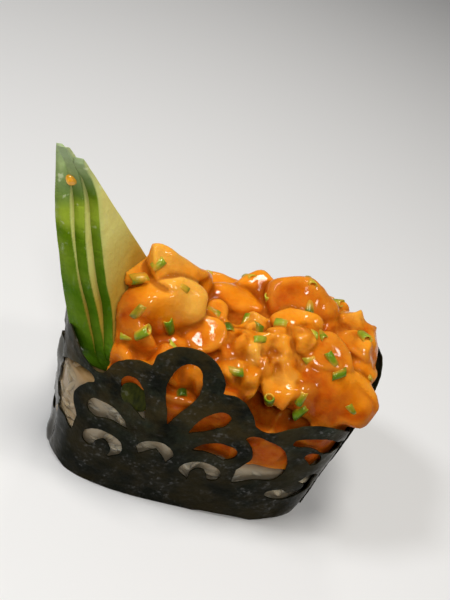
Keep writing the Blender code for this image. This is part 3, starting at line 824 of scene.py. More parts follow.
def riceMaterial():
    made, tree, shader = newMaterial(
        "cookedRice", IOR=1.4, Roughness=0.30, Specular_IOR_Level=0.35,
        Subsurface_Weight=0.6, Subsurface_Scale=0.003, Subsurface_Radius=(1.0, 0.8, 0.6),
    )
    share = blended(tree, 0.6, attributeOut(tree, "tone"), mottle(tree, 380.0, 0.3, 0.7))
    colour = mixColour(tree, share, rice["dullColour"], rice["paleColour"])
    # the rice is browner at its top at the cucumber's end
    colour = mixColour(tree, attributeOut(tree, "leftEndBrown"), colour, rice["leftEndBrownColour"])
    tree.links.new(colour, shader.inputs["Base Color"])
    bump(tree, shader, mottle(tree, 1100.0, 0.2, 0.8), 0.15, 0.0002)
    return made


def leftEndBrownAt(points):
    # browner towards the top of the rice at the cucumber's end, and a little on that end's side
    high = 0.8 * eased(points[:, 2], 21.5, 25.0) * eased(points[:, 0], -8.0, -14.0)
    return np.maximum(high, 0.45 * eased(points[:, 0], -18.0, -22.0))


def makeRiceCore(material):
    # the band's plan at a depth, from the underside up to just under the rice's top: rings out along the
    # underside, up the wall and in over the top
    sides = rice["coreSides"]
    s = np.arange(sides) * pathLength / sides
    inset = -rice["wallDepth"] + 0.62 + lapInset(np.mod(s - 7.06, pathLength) + 7.06, band["lapMargin"])
    wallX = onBand(s, 0.0, inset)[:, 0]
    layers = []
    middle = np.array([0.0, 0.0, 0.0])
    for share in (0.3, 0.6, 0.85, 1.0):
        ring = onBand(s, 0 * s, inset - 0.6)
        layers.append(middle + (ring - middle) * share)
    for share in np.linspace(0.04, 0.97, 9):
        layers.append(onBand(s, share * (riceTop(wallX) - 1.0), inset))
    rim = onBand(s, riceTop(wallX) - 1.0, inset)
    for share in (0.97, 0.85, 0.6, 0.3):
        ring = rim * [share, share, 1]
        ring[:, 2] = riceTop(ring[:, 0]) - 0.9
        layers.append(ring)
    points = np.concatenate(layers + [[middle], [[0, 0, riceTop(0.0) - 0.9]]])
    count = len(layers)
    here, beside = ringSteps(count - 1, sides)
    quads = np.stack([here, beside, beside + sides, here + sides], 1)
    first, second = ringSteps(1, sides)
    last = (count - 1) * sides
    under = np.stack([np.full(sides, count * sides), second, first], 1)
    over = np.stack([np.full(sides, count * sides + 1), first + last, second + last], 1)
    points[:, :2] += rice["coreRelief"] * noiseVectors(points, 2.4, 81, 2)
    obj = newObject("riceCore", meshFrom("riceCore", points, [quads, np.concatenate([under, over])]))
    facingOut(obj.data)
    setAttribute(obj.data, "tone", np.full(len(obj.data.vertices), 0.35))
    setAttribute(obj.data, "leftEndBrown", leftEndBrownAt(pointsOf(obj.data)))
    finished(obj, material, ["rice_base"])


def wallGrains(random):
    # middles and axes of the grains just inside the band, laid in slanting directions along it
    stepS, stepZ = rice["wallPitch"]
    jitterS, jitterZ = rice["wallJitter"]
    along, up = np.arange(*rice["alongReach"], stepS), np.arange(*rice["heightReach"], stepZ)
    s, height = (values.ravel() for values in np.meshgrid(along, up, indexing="ij"))
    s = s + random.uniform(-jitterS, jitterS, s.size)
    height = height + random.uniform(-jitterZ, jitterZ, height.size)
    lean = random.uniform(-rice["maxLean"], rice["maxLean"], s.size)
    depth = random.uniform(*rice["depthSpread"], s.size) - rice["wallDepth"]
    depth += lapInset(s, band["lapMargin"])
    centre = onBand(s, height, depth)
    ahead = onBand(s + np.cos(lean), height + np.sin(lean), depth + random.uniform(-0.2, 0.2, s.size))
    # none sticks out over the rice's top or under its foot
    rise = np.abs(np.sin(lean))
    ceiling = riceTop(centre[:, 0]) - 0.5 * rice["grainWidth"] - 1.1 * rise
    keep = (height < ceiling) & (height > 0.55 * rice["grainWidth"] + 1.2 * rise)
    return centre[keep], (ahead - centre)[keep]


def topGrains(random):
    # middles and axes of the grains on the rice's top, under the salmon
    pitch, jitter = rice["topPitch"], rice["topJitter"]
    x, y = np.meshgrid(np.arange(-26, 26, pitch), np.arange(-15, 15.1, pitch), indexing="ij")
    x = x.ravel() + random.uniform(-jitter, jitter, x.size)
    y = y.ravel() + random.uniform(-jitter, jitter, y.size)
    centre = np.stack([x, y, riceTop(x) - 0.9], -1)
    centre = centre[bandCoordinates(centre)[1] < -rice["topInset"]]
    heading = random.uniform(0, np.pi, len(centre))
    rise = random.uniform(-0.25, 0.25, len(centre))
    return centre, np.stack([np.cos(heading), np.sin(heading), rise], -1)


def makeRiceGrains(material):
    # each grain is a ball stretched along z and drawn in towards its ends, turned to lie along its own axis
    random = np.random.default_rng(rice["seed"])
    parts = [wallGrains(random), topGrains(random)]
    centre, axis = (np.concatenate(values) for values in zip(*parts))
    axis /= np.linalg.norm(axis, axis=1, keepdims=True)
    free = fanDistance(centre) > 1.3
    centre, axis = centre[free], axis[free]
    ball, quads, triangles = ballGrid(7, 8)
    ball[:, :2] *= 1 - rice["drawnIn"] * ball[:, 2:] ** 2
    length = random.uniform(*rice["lengthSpread"], len(centre)) * rice["grainLength"] / 2
    width = random.uniform(*rice["widthSpread"], len(centre)) * rice["grainWidth"] / 2
    shape = ball * np.stack([width, width * 0.92, length], -1)[:, None]
    bend = random.uniform(-rice["bend"], rice["bend"], (len(centre), 1))
    shape[..., 0] += bend * (shape[..., 2] / 2.0) ** 2
    shape = np.einsum("kij,knj->kni", turnMatrices(axis), shape) + centre[:, None]
    points, blocks = manyCopies(shape, [quads, triangles])
    mesh = meshFrom("riceGrains", points, blocks)
    setAttribute(mesh, "tone", np.repeat(random.uniform(0.2, 1.0, len(centre)), len(ball)))
    setAttribute(mesh, "leftEndBrown", leftEndBrownAt(points))
    finished(newObject("riceGrains", mesh), material, ["rice_base"])
    print("rice:", len(centre), "grains,", len(mesh.polygons), "faces")


# salmon

salmon = {
    "low": (-22.5, -17.5, 14.5), "high": (31.5, 17.5, 49.5), "pitch": 0.36, "fillet": 0.5, "warp": 0.55,
    "relief": 0.14, "grit": 0.07, "wallGap": 0.5, "bedTop": 29.0, "lowTop": 24.0, "rimPitch": 3.7,
    "bits": 130, "bitSize": (0.9, 2.0), "seed": 29,
    # middle, reach and strength of the places where the creamy sauce gathers, and its strength elsewhere
    "saucePlaces": [((8, -6), (10, 6), 1.0), ((24, 1), (5, 6), 0.8)], "thinSauce": 0.25,
    "paleColour": (0.92, 0.45, 0.065), "lightColour": (0.82, 0.240, 0.004),
    # the crease colour is painted shade, and the deep colour also stands for painted shade in wide hollows
    "deepColour": (0.50, 0.072, 0.001), "paintedShadeColour": (0.22, 0.030, 0.001),
    "sauceColour": (0.88, 0.36, 0.030),
    # centre and half sizes of the hollows under the overhanging pieces; the salmon round them is painted dark
    # as shade
    "hollows": [((9.0, -15.0, 28.6), (3.6, 6.5, 3.0)), ((13.5, -16.5, 28.0), (4.5, 4.0, 2.2))],
}
# each larger piece is the hull of the corners that show, carried back into the heap by its depth, with its
# edges rounded by its softness; tone runs from 0, deep orange, to 1, pale, and is painted deeper towards
# the bottom or the fade's deep end as shade
pieces = {
    "prow": {"depth": 5.0, "softness": 0.4, "tone": 1.0, "corners": [
        (-21.5, -3.9, 44.6), (-21.4, -5.0, 43.1), (-19.4, -3.0, 40.9), (-19.5, -0.1, 44.1),
        (-16.1, -3.5, 49.3), (-14.6, -1.8, 48.1), (-6.2, -0.5, 43.4), (-9.3, -4.5, 43.3),
        (-15.1, -7.0, 44.6),
    ]},
    # painted sheen: the shoulder's tone above 1 paints its pale sheen, and its fade paints its lower left
    # deeper as shade
    "shoulder": {"depth": 10.0, "softness": 0.9, "tone": 1.1, "shadeFade": ((-15, -12, 37), (-9, -5, 43), 0.9),
        "corners": [
        (-19.8, -4.9, 39.5), (-21.0, -7.6, 39.6), (-21.3, -9.3, 38.1), (-20.9, -10.2, 36.5),
        (-18.0, -8.5, 42.0), (-13.4, -6.0, 45.0), (-9.2, -3.5, 44.3), (-5.9, -3.0, 42.2),
        (-4.6, -7.0, 40.3), (-6.9, -9.5, 38.0), (-10.9, -12.2, 36.7), (-15.0, -13.0, 37.2),
        (-14.8, -11.5, 43.5),
    ]},
    "lobe": {"depth": 8.0, "softness": 0.7, "tone": 0.33, "corners": [
        (-19.4, -10.3, 35.3), (-18.6, -11.4, 33.0), (-17.6, -12.2, 30.1), (-18.0, -11.2, 39.0),
        (-15.0, -13.0, 40.0), (-11.5, -14.0, 37.3), (-10.2, -15.0, 33.8), (-13.1, -15.2, 31.0),
        (-16.0, -14.6, 30.8),
    ]},
    "ridge": {"depth": 10.0, "softness": 0.7, "tone": 0.50, "corners": [
        (-6.1, 4.0, 39.2), (-2.9, 7.0, 36.9), (1.9, 8.0, 36.3), (6.9, 7.5, 36.6), (6.7, 2.0, 37.8),
        (3.5, 0.5, 36.0), (-0.3, 0.0, 35.6), (-3.8, 0.0, 36.3), (-5.5, 1.0, 38.0),
    ]},
    "summit": {"depth": 10.0, "softness": 0.8, "tone": 0.34, "corners": [
        (5.8, 4.5, 41.0), (7.6, 5.0, 42.9), (10.3, 5.5, 44.3), (13.5, 6.0, 44.8), (16.4, 5.5, 42.7),
        (19.0, 5.0, 41.0), (19.4, 2.5, 39.6), (16.3, 0.5, 39.0), (11.7, -1.0, 40.2), (8.7, -0.5, 38.2),
        (6.8, 1.0, 38.0),
    ]},
    "right": {"depth": 10.0, "softness": 0.6, "tone": 0.22, "corners": [
        (17.9, 4.0, 37.5), (20.6, 5.5, 37.9), (23.5, 6.0, 38.2), (26.4, 6.0, 37.4), (28.3, 4.0, 36.8),
        (29.1, 2.0, 35.3), (28.2, -2.5, 34.8), (24.5, -3.5, 36.1), (20.5, -2.0, 36.8), (17.9, 0.0, 37.3),
    ]},
    "middleLeft": {"depth": 6.0, "softness": 0.45, "tone": 0.55, "corners": [
        (-8.1, -9.0, 36.9), (-6.7, -7.5, 38.6), (-4.3, -6.5, 39.5), (-1.7, -6.5, 39.2), (-0.6, -8.5, 38.3),
        (-1.9, -11.5, 36.9), (-4.9, -12.5, 36.3), (-7.5, -12.0, 36.8),
    ]},
    "middleDeep": {"depth": 6.0, "softness": 0.6, "tone": 0.35, "corners": [
        (-1.9, -7.5, 37.5), (1.0, -6.0, 38.3), (4.0, -6.5, 37.9), (4.5, -9.5, 36.8), (3.0, -12.0, 35.3),
        (0.1, -12.5, 35.7), (-1.9, -10.5, 36.7),
    ]},
    "creamSmall": {"depth": 5.0, "softness": 0.4, "tone": 0.85, "corners": [
        (2.5, -3.0, 38.3), (4.2, -2.0, 38.5), (5.9, -2.5, 37.3), (5.4, -5.0, 36.7), (3.1, -6.0, 36.8),
        (1.7, -4.5, 37.4),
    ]},
    "between": {"depth": 6.0, "softness": 0.5, "tone": 0.6, "corners": [
        (-4.8, -2.0, 38.7), (-3.2, 0.0, 39.4), (-0.9, -1.0, 38.7), (-0.4, -4.0, 38.2), (-3.0, -6.0, 38.0),
        (-4.8, -5.0, 38.4),
    ]},
    "ledge": {"depth": 9.0, "softness": 0.5, "tone": 0.7, "corners": [
        (7.0, -1.0, 38.3), (9.6, -0.5, 41.0), (12.7, -1.0, 42.0), (15.9, -1.0, 40.5), (15.5, -4.0, 39.4),
        (11.4, -5.5, 38.9), (8.1, -4.5, 37.5),
    ]},
    "slope": {"depth": 9.0, "softness": 0.5, "tone": 0.36, "corners": [
        (11.3, -4.5, 38.6), (15.7, -3.0, 40.5), (19.5, -2.0, 39.0), (22.1, -4.5, 37.7), (22.6, -7.5, 36.9),
        (19.1, -9.5, 37.1), (14.5, -9.0, 37.4), (11.8, -7.0, 37.7),
    ]},
    "centre": {"depth": 9.0, "softness": 0.6, "tone": 0.75, "corners": [
        (4.4, -6.5, 36.8), (7.7, -5.5, 38.5), (11.9, -6.0, 38.8), (13.0, -8.5, 37.1), (12.7, -11.5, 35.8),
        (9.1, -12.5, 35.0), (5.8, -11.5, 35.3), (4.1, -9.0, 36.4),
    ]},
    "dripLeft": {"depth": 5.0, "softness": 0.55, "tone": 0.85, "corners": [
        (0.3, -12.5, 35.1), (4.2, -11.0, 36.2), (6.5, -13.0, 34.4), (5.8, -15.3, 31.8), (3.9, -15.6, 30.9),
        (1.7, -15.3, 32.0),
    ]},
    "dripRight": {"depth": 3.5, "softness": 0.45, "tone": 0.85, "corners": [
        (6.2, -11.5, 35.7), (12.1, -11.5, 36.1), (13.1, -13.0, 35.3), (12.9, -14.8, 34.1),
        (11.9, -16.0, 31.6), (10.6, -16.4, 30.8), (9.3, -15.6, 32.3), (6.9, -14.5, 33.6),
    ]},
    "plug": {"depth": 3.0, "softness": 0.5, "tone": 0.6, "corners": [
        (11.4, -9.6, 36.0), (15.0, -9.6, 36.2), (15.2, -6.0, 37.2), (11.6, -6.0, 37.2), (13.2, -7.8, 37.5),
    ]},
    # painted shade: the slab's fade paints its front left end deeper
    "slab": {"depth": 10.0, "softness": 0.5, "tone": 0.72, "shadeFade": ((15, -15, 31), (27, -8, 34), 1.0),
        "corners": [
        (13.2, -12.0, 35.5), (13.8, -9.5, 36.7), (16.5, -8.0, 37.9), (21.2, -7.0, 37.3),
        (26.0, -6.0, 35.3), (28.6, -8.0, 33.6), (29.3, -10.0, 31.5), (27.7, -12.5, 29.9),
        (24.3, -14.5, 27.4), (19.8, -15.3, 28.6), (15.3, -15.3, 27.7), (12.9, -14.5, 33.3),
    ]},
}
# centre, half sizes and tone of the many-sided pieces below and behind them
fillers = [
    ((-9.9, 1.4, 38.2), (5.8, 4.2, 3.8), 0.55), ((-16.1, -11.5, 31.0), (3.6, 3.2, 4.4), 0.35),
    ((-10.0, -11.6, 32.4), (4.6, 3.2, 4.4), 0.4), ((-6.0, -10.5, 31.4), (3.8, 3.4, 3.4), 0.5),
    ((3.6, -11.0, 30.5), (3.6, 3.0, 3.6), 0.6), ((-1.6, -11.8, 31.2), (3.6, 3.0, 4.0), 0.4),
    ((14.7, -10.6, 31.0), (4.4, 3.6, 4.4), 0.3), ((24.6, -3.0, 32.0), (4.0, 4.2, 4.4), 0.45),
    ((22.4, -9.6, 29.6), (5.6, 4.0, 4.0), 0.4), ((9.5, -11.8, 26.4), (5.6, 2.6, 5.0), 0.2),
    ((16.5, -11.4, 26.0), (5.6, 3.2, 5.0), 0.2), ((-9.6, 6.0, 31.6), (6.2, 5.4, 4.4), 0.5),
    ((0.5, 10.6, 30.0), (6.4, 4.6, 4.4), 0.65), ((11.0, 9.6, 31.4), (6.4, 4.4, 4.6), 0.45),
    ((19.6, 9.0, 29.4), (5.4, 4.6, 4.4), 0.6), ((-16.5, 3.5, 29.5), (4.0, 5.0, 3.6), 0.4),
    ((4.0, 3.0, 32.0), (9.0, 6.0, 5.0), 0.5), ((14.0, 4.0, 33.0), (8.0, 6.0, 6.0), 0.5),
    ((25.0, 4.0, 29.0), (3.6, 5.0, 4.4), 0.5), ((-12.0, 11.0, 28.2), (5.0, 3.2, 3.4), 0.6),
]


def salmonMaterial():
    made, tree, shader = newMaterial(
        "salmonGlaze", IOR=1.38, Specular_IOR_Level=0.06, Specular_Tint=(1.0, 0.62, 0.22, 1),
        Subsurface_Weight=0.25, Subsurface_Scale=0.0025, Subsurface_Radius=(1.0, 0.30, 0.03),
        Coat_Roughness=0.05, Coat_IOR=1.43,
    )
    names = ("tone", "crease", "sauce", "sunk", "hollow", "upward")
    tone, crease, sauce, sunk, hollow, upward = (attributeOut(tree, name) for name in names)
    share = blended(tree, 0.75, tone, mottle(tree, 230.0, 0.3, 0.7, 0.55))
    colour = ramp(tree, share, [
        # the darkest stop, the crease colour, is painted shade
        (0.02, salmon["paintedShadeColour"]), (0.22, salmon["deepColour"]), (0.58, salmon["lightColour"]),
        (0.95, salmon["paleColour"]),
    ])
    # painted shade: wide hollows painted deep orange
    colour = mixColour(tree, between(tree, hollow, 0.05, 0.7, 0.75), colour, salmon["deepColour"])
    # painted light: convex edges, standing out from their surroundings, painted paler
    colour = mixColour(tree, between(tree, sunk, -0.04, -0.20, 0.35), colour, salmon["sauceColour"])
    # painted shade: creases where pieces meet, and small hollows, painted with the dark crease colour
    colour = mixColour(tree, times(tree, crease, 0.33), colour, salmon["paintedShadeColour"])
    colour = mixColour(tree, between(tree, sunk, 0.01, 0.16, 0.65), colour, salmon["paintedShadeColour"])
    cream = times(tree, times(tree, sauce, 0.4), mottle(tree, 420.0, 0.35, 0.62, 0.6))
    colour = mixColour(tree, cream, colour, salmon["sauceColour"])
    tree.links.new(colour, shader.inputs["Base Color"])
    wet = times(tree, mottle(tree, 300.0, 0.38, 0.60), between(tree, sauce, 0.2, 0.8, 0.6, 0.4))
    tree.links.new(between(tree, wet, 0.0, 1.0, -0.28, 0.42), shader.inputs["Roughness"])
    film = mottle(tree, 560.0, 0.47, 0.53, 0.55)
    gloss = between(tree, film, 0.0, 1.0, 0.85, 0.15)
    gloss = times(tree, gloss, between(tree, sunk, 0.0, 0.10, -0.8, 1.0))
    # the sides that face down and outwards hold no film, and level tops hold little
    gloss = times(tree, gloss, between(tree, upward, 0.15, 0.45, 1.0))
    gloss = times(tree, gloss, between(tree, upward, 0.88, 0.97, -0.6, 1.0))
    tree.links.new(gloss, shader.inputs["Coat Weight"])
    fine = mottle(tree, 1500.0, 0.35, 0.75, 0.6)
    relief = mathNode(tree, "ADD", times(tree, mottle(tree, 620.0, 0.3, 0.7, 0.5), 0.8), fine)
    bump(tree, shader, relief, 0.2, 0.0004)
    return made


def softUnion(field, tone, crease, other, otherTone, fillet):
    # the smaller of two distances, rounded where they are within a fillet of each other
    share = np.clip(0.5 + 0.5 * (field - other) / fillet, 0, 1)
    both = share * (1 - share)
    joined = field * (1 - share) + other * share - fillet * both
    return joined, tone * (1 - share) + otherTone * share, np.maximum(crease * (1 - share), 4 * both)


def hullPlanes(corners):
    # outward normals and distances of the faces of the corners' convex hull
    bm = bmesh.new()
    for place in corners:
        bm.verts.new(place)
    bmesh.ops.convex_hull(bm, input=bm.verts)
    faces = [face for face in bm.faces if face.calc_area() > 0.02]
    for face in faces:
        face.normal_update()
    normals = np.array([face.normal for face in faces])
    places = np.array([face.verts[0].co for face in faces])
    bm.free()
    outward = np.sign(((places - np.mean(corners, 0)) * normals).sum(1))
    normals = normals * outward[:, None]
    isNew = np.triu(normals @ normals.T > 0.97, 1).sum(0) == 0
    normals = normals[isNew]
    return normals, (normals @ np.array(corners).T).max(1)


def cornerPiece(piece):
    # the corners, and the same corners drawn in a little and moved back and down by the depth
    corners = np.array(piece["corners"])
    middle = corners.mean(0)
    behind = middle + (corners - middle) * 0.9 + np.array([0.05, 0.5, -0.86]) * piece["depth"]
    corners = np.concatenate([corners, behind])
    return hullPlanes(corners), corners.min(0), corners.max(0)


goldenAngle = 2.399963  # turned by it again and again, directions spread evenly


def scatteredPiece(centre, half, random, sides=11):
    # faces in evenly spread directions, turned at random, each touching an oval of the given half sizes
    rank = np.arange(sides) + 0.5
    up = 1 - 2 * rank / sides
    around = rank * goldenAngle + random.uniform(0, 2 * np.pi)
    flat = np.sqrt(1 - up**2)
    normals = np.stack([flat * np.cos(around), flat * np.sin(around), up], -1)
    normals += random.uniform(-0.3, 0.3, (sides, 3))
    normals /= np.linalg.norm(normals, axis=1, keepdims=True)
    centre, half = np.array(centre), np.array(half)
    reach = np.linalg.norm(normals * half, axis=1) * random.uniform(0.86, 1.02, sides)
    return (normals, reach + normals @ centre), centre - half * 1.2, centre + half * 1.2


def addPiece(heap, piece, softness, tone, fillet, shadeFade=None):
    # the rounded greatest distance to the piece's planes, worked out in a box round it, joined to the heap;
    # with a fade (deep end, pale end, strength) the tone falls off towards the deep end, as painted shade
    (normals, reaches), low, high = piece
    spans = zip(heap["axes"], low - 2.0, high + 2.0)
    window = tuple(slice(*np.searchsorted(axis, (start, end))) for axis, start, end in spans)
    points = heap["warped"][window]
    distances = points.reshape(-1, 3) @ normals.T - reaches
    top = distances.max(1)
    softness = 0.8 * softness
    far = top + softness * np.log(np.exp((distances - top[:, None]) / softness).sum(1)) - 0.75 * softness
    far = far.reshape(points.shape[:3])
    if shadeFade:
        deepEnd, along = np.array(shadeFade[0]), np.subtract(shadeFade[1], shadeFade[0])
        tone = tone * (1 - shadeFade[2] * eased((points - deepEnd) @ along / along.dot(along), 1.0, 0.0))
    names = ("field", "tone", "crease")
    joined = softUnion(*(heap[name][window] for name in names), far, tone, fillet)
    for name, values in zip(names, joined):
        heap[name][window] = values


def wallDistance(points):
    # how far a point lies beyond where the salmon may reach: the band's inside, and a little over its rim
    s, outward = bandCoordinates(points)
    above = points[:, 2] - rimHeight(s)
    step = lapInset(s, band["lapMargin"]) * (1 - eased(above, 0.0, 2.0))
    overhang = 1.9 * eased(above, 0.6, 3.0) * eased(np.abs(s - 35), 7, 3)
    return outward + salmon["wallGap"] - step - overhang


def layPieces(heap, random):
    # joins the fillers, a row of pieces along the rim, the larger pieces and the small scraps to the heap, and
    # takes the hollows away, painting the salmon round them darker as shade
    for centre, half, tone in fillers:
        addPiece(heap, scatteredPiece(centre, half, random), 0.6, tone, salmon["fillet"])
    for s in np.arange(-44, 54, salmon["rimPitch"]):
        base = riceTop(pathAt(s)[0]) + 1.0
        height = random.uniform(base, max(base + 0.5, rimHeight(s) - 3.5))
        place = onBand(s, height, -random.uniform(1.6, 2.6))
        half = random.uniform(2.0, 3.4, 3)
        addPiece(heap, scatteredPiece(place, half, random), 0.4, random.uniform(0.1, 0.7), 0.7)
    for piece in pieces.values():
        low, high = np.min(piece["corners"], 0), np.max(piece["corners"], 0)
        middle = (low + high) / 2
        # painted light: a piece without its own fade is painted paler at its top and deeper at its bottom
        upright = ((middle[0], middle[1], low[2]), (middle[0], middle[1], high[2]), 0.45)
        shadeFade = piece.get("shadeFade", upright)
        addPiece(heap, cornerPiece(piece), piece["softness"], piece["tone"], salmon["fillet"], shadeFade)
    for centre, half, tone in smallBits(heap, random):
        addPiece(heap, scatteredPiece(centre, half, random, 9), 0.22, tone, 0.6)
    for centre, half in salmon["hollows"]:
        hollow = (np.linalg.norm((heap["warped"] - centre) / half, axis=-1) - 1) * min(half)
        heap["field"] = np.maximum(heap["field"], -hollow)
        # painted shade: the salmon near each hollow is painted much deeper
        heap["tone"] = np.where(hollow < 0.6, heap["tone"] * 0.2, heap["tone"])


def makeHeap():
    # a block of grid points, each holding the distance to the heap's surface, negative inside
    axes = [np.arange(low, high, salmon["pitch"]) for low, high in zip(salmon["low"], salmon["high"])]
    grid = np.stack(np.meshgrid(*axes, indexing="ij"), -1)
    flat = grid.reshape(-1, 3)
    warped = (flat + salmon["warp"] * noiseVectors(flat, 5.0, 131, 3)).reshape(grid.shape)
    block = grid.shape[:3]
    heap = {
        "axes": axes, "warped": warped, "field": np.full(block, 3.0), "tone": np.full(block, 0.4),
        "crease": np.zeros(block),
    }
    random = np.random.default_rng(salmon["seed"])
    wall = np.full(len(flat), 3.0)
    middle = np.abs(flat[:, 0] / 24) ** 3 + np.abs(flat[:, 1] / 13) ** 3
    near = np.flatnonzero((middle > 0.35) & (flat[:, 2] < 44))
    wall[near] = wallDistance(flat[near])
    wall[middle <= 0.35] = -3.0
    wall = wall.reshape(block)
    floor = (riceTop(flat[:, 0]) + 0.25 - flat[:, 2]).reshape(block)
    bed = np.maximum(np.maximum(wall + 0.4, grid[..., 2] - salmon["bedTop"]), floor)
    heap["field"] = np.minimum(heap["field"], bed)
    layPieces(heap, random)
    # painted shade: the pieces lying against the seaweed, in its shadow, are painted deeper in colour and
    # marked as creases
    y, z = grid[..., 1], grid[..., 2]
    seaweedShade = eased(wall, -2.8, -1.2) * eased(z, 35.0, 31.5) * eased(y, 0.0, -3.0)
    heap["tone"] *= 1 - 0.85 * seaweedShade
    heap["crease"] = np.maximum(heap["crease"], seaweedShade)
    heap["sauce"] = sauceShare(flat).reshape(block)
    shell = np.flatnonzero(np.abs(heap["field"]).ravel() < 1.5)
    relief = salmon["relief"] * layeredNoise(flat[shell], 3.2, 111, 2)
    grit = salmon["grit"] * (0.35 + heap["sauce"].ravel()[shell])
    relief += grit * layeredNoise(flat[shell], 1.7, 121, 2)
    heap["field"].ravel()[shell] += relief
    # the heap keeps clear of the fan, and behind the slices nothing is left above the low top
    fan = np.full(len(flat), 3.0)
    beside = np.flatnonzero((flat[:, 0] < -4) & (heap["field"].ravel() < 1.5))
    fan[beside] = fanDistance(flat[beside], 3.0)
    heap["field"] = np.maximum(heap["field"], 0.1 - fan.reshape(block))
    cleared = np.minimum(0.1 - toSlice(flat)[:, 2], flat[:, 2] - salmon["lowTop"])
    heap["field"] = np.maximum(heap["field"], cleared.reshape(block))
    heap["field"] = np.maximum(np.maximum(heap["field"], wall), floor)
    return heap


def sauceShare(points):
    # the sum of strength times e to the minus (distance / reach) squared, over the sauce's places
    total = np.zeros(len(points))
    for middle, reach, strength in salmon["saucePlaces"]:
        total += strength * np.exp(-(((points[:, :2] - middle) / reach) ** 2).sum(1))
    return np.clip(total + salmon["thinSauce"], 0, 1)


def smallBits(heap, random):
    # scraps of salmon set into the heap's surface, most of them in the middle of the front
    count = salmon["bits"]
    x = random.uniform(-6, 27, count)
    y = random.uniform(-13, 13, count)
    wanted = ((y < -2.5) & (x > -4) & (x < 15)) | (y > 12) | ((x > 20) & (y > -3))
    x, y = x[wanted], y[wanted]
    column = [np.searchsorted(heap["axes"][0], x), np.searchsorted(heap["axes"][1], y)]
    inside = heap["field"][column[0], column[1]] < 0
    top = inside.shape[1] - 1 - np.argmax(inside[:, ::-1], axis=1)
    z = heap["axes"][2][top]
    size = random.uniform(*salmon["bitSize"], len(x))
    half = size[:, None] * random.uniform(0.7, 1.35, (len(x), 3))
    centre = np.stack([x, y, z - 0.45 * size], -1)
    return list(zip(centre, half, random.uniform(0.25, 1.0, len(x))))


def netSurface(heap):
    # one point in each grid cell that the surface passes through, at the mean of where it crosses the
    # cell's edges, and one quad across each grid edge that it crosses
    field = heap["field"]
    inside = field < 0
    cells = np.array(field.shape) - 1
    count = np.zeros(cells, int)
    for offset in np.ndindex(2, 2, 2):
        window = tuple(slice(start, start + size) for start, size in zip(offset, cells))
        count += inside[window]
    used = np.argwhere((count > 0) & (count < 8))
    index = np.full(cells, -1)
    index[tuple(used.T)] = np.arange(len(used))
    total, crossings = np.zeros((len(used), 3)), np.zeros(len(used))
    blocks = []
    steps = np.eye(3, dtype=int)
    for axis, ahead in enumerate(steps):
        across = np.delete(steps, axis, 0)
        for corner in np.ndindex(2, 2):
            offset = np.array(corner) @ across
            start = field[tuple((used + offset).T)]
            end = field[tuple((used + offset + ahead).T)]
            crosses = (start < 0) != (end < 0)
            share = np.where(crosses, start / np.where(crosses, start - end, 1.0), 0.0)
            total += crosses[:, None] * (offset + share[:, None] * ahead)
            crossings += crosses
        start = field[tuple(slice(0, size - step) for size, step in zip(field.shape, ahead))] < 0
        end = field[tuple(slice(step, size) for size, step in zip(field.shape, ahead))] < 0
        edge = np.argwhere(start != end)
        leaves = start[tuple(edge.T)]
        sideA, sideB = steps[(axis + 1) % 3], steps[(axis + 2) % 3]
        ring = [index[tuple((edge - shift).T)] for shift in (sideA + sideB, sideB, 0 * sideA, sideA)]
        quad = np.stack(ring, 1)
        blocks.append(np.where(leaves[:, None], quad, quad[:, ::-1]))
    points = (used + total / crossings[:, None]) * salmon["pitch"] + salmon["low"]
    return points, used, np.concatenate(blocks)


def largestShell(points, cells, quads):
    # each point takes the lowest number in its quads until none changes; the number that most share is kept
    label = np.arange(len(points))
    changed = True
    while changed:
        lowest = label.copy()
        np.minimum.at(lowest, quads.ravel(), np.repeat(label[quads].min(1), 4))
        lowest = lowest[lowest]
        changed = (lowest != label).any()
        label = lowest
    kept = label[quads[:, 0]] == np.bincount(label[quads[:, 0]]).argmax()
    used, renumbered = np.unique(quads[kept], return_inverse=True)
    return points[used], cells[used], renumbered.reshape(-1, 4)


def smoothed(points, edges, rounds, share):
    # moves each point towards the mean of its neighbours
    count = np.bincount(edges.ravel(), minlength=len(points))
    for _ in range(rounds):
        total = np.zeros_like(points)
        for axis in range(3):
            total[:, axis] += np.bincount(edges[:, 0], points[edges[:, 1], axis], len(points))
            total[:, axis] += np.bincount(edges[:, 1], points[edges[:, 0], axis], len(points))
        points = points + (total / count[:, None] - points) * share
    return points


def edgesOf(mesh):
    flat = np.empty(len(mesh.edges) * 2, np.int32)
    mesh.edges.foreach_get("vertices", flat)
    return flat.reshape(-1, 2)


def makeSalmon():
    heap = makeHeap()
    points, cells, quads = largestShell(*netSurface(heap))
    mesh = meshFrom("salmonDice", points, [quads])
    movePoints(mesh, smoothed(pointsOf(mesh), edgesOf(mesh), 2, 0.5))
    setAttribute(mesh, "upward", normalsOf(mesh)[:, 2])
    # how far a point lies below the mean of its near and of its wide surroundings, in millimetres
    near = smoothed(pointsOf(mesh), edgesOf(mesh), 30, 0.6)
    setAttribute(mesh, "sunk", ((near - pointsOf(mesh)) * normalsOf(mesh)).sum(1))
    wide = smoothed(near, edgesOf(mesh), 150, 0.8)
    setAttribute(mesh, "hollow", ((wide - pointsOf(mesh)) * normalsOf(mesh)).sum(1))
    for name in ("tone", "crease", "sauce"):
        setAttribute(mesh, name, heap[name][tuple(cells.T)])
    obj = newObject("salmonDice", mesh)
    finished(obj, salmonMaterial(), ["salmon_tartare"])
    print("salmon:", len(mesh.polygons), "faces")
    return obj


# chives

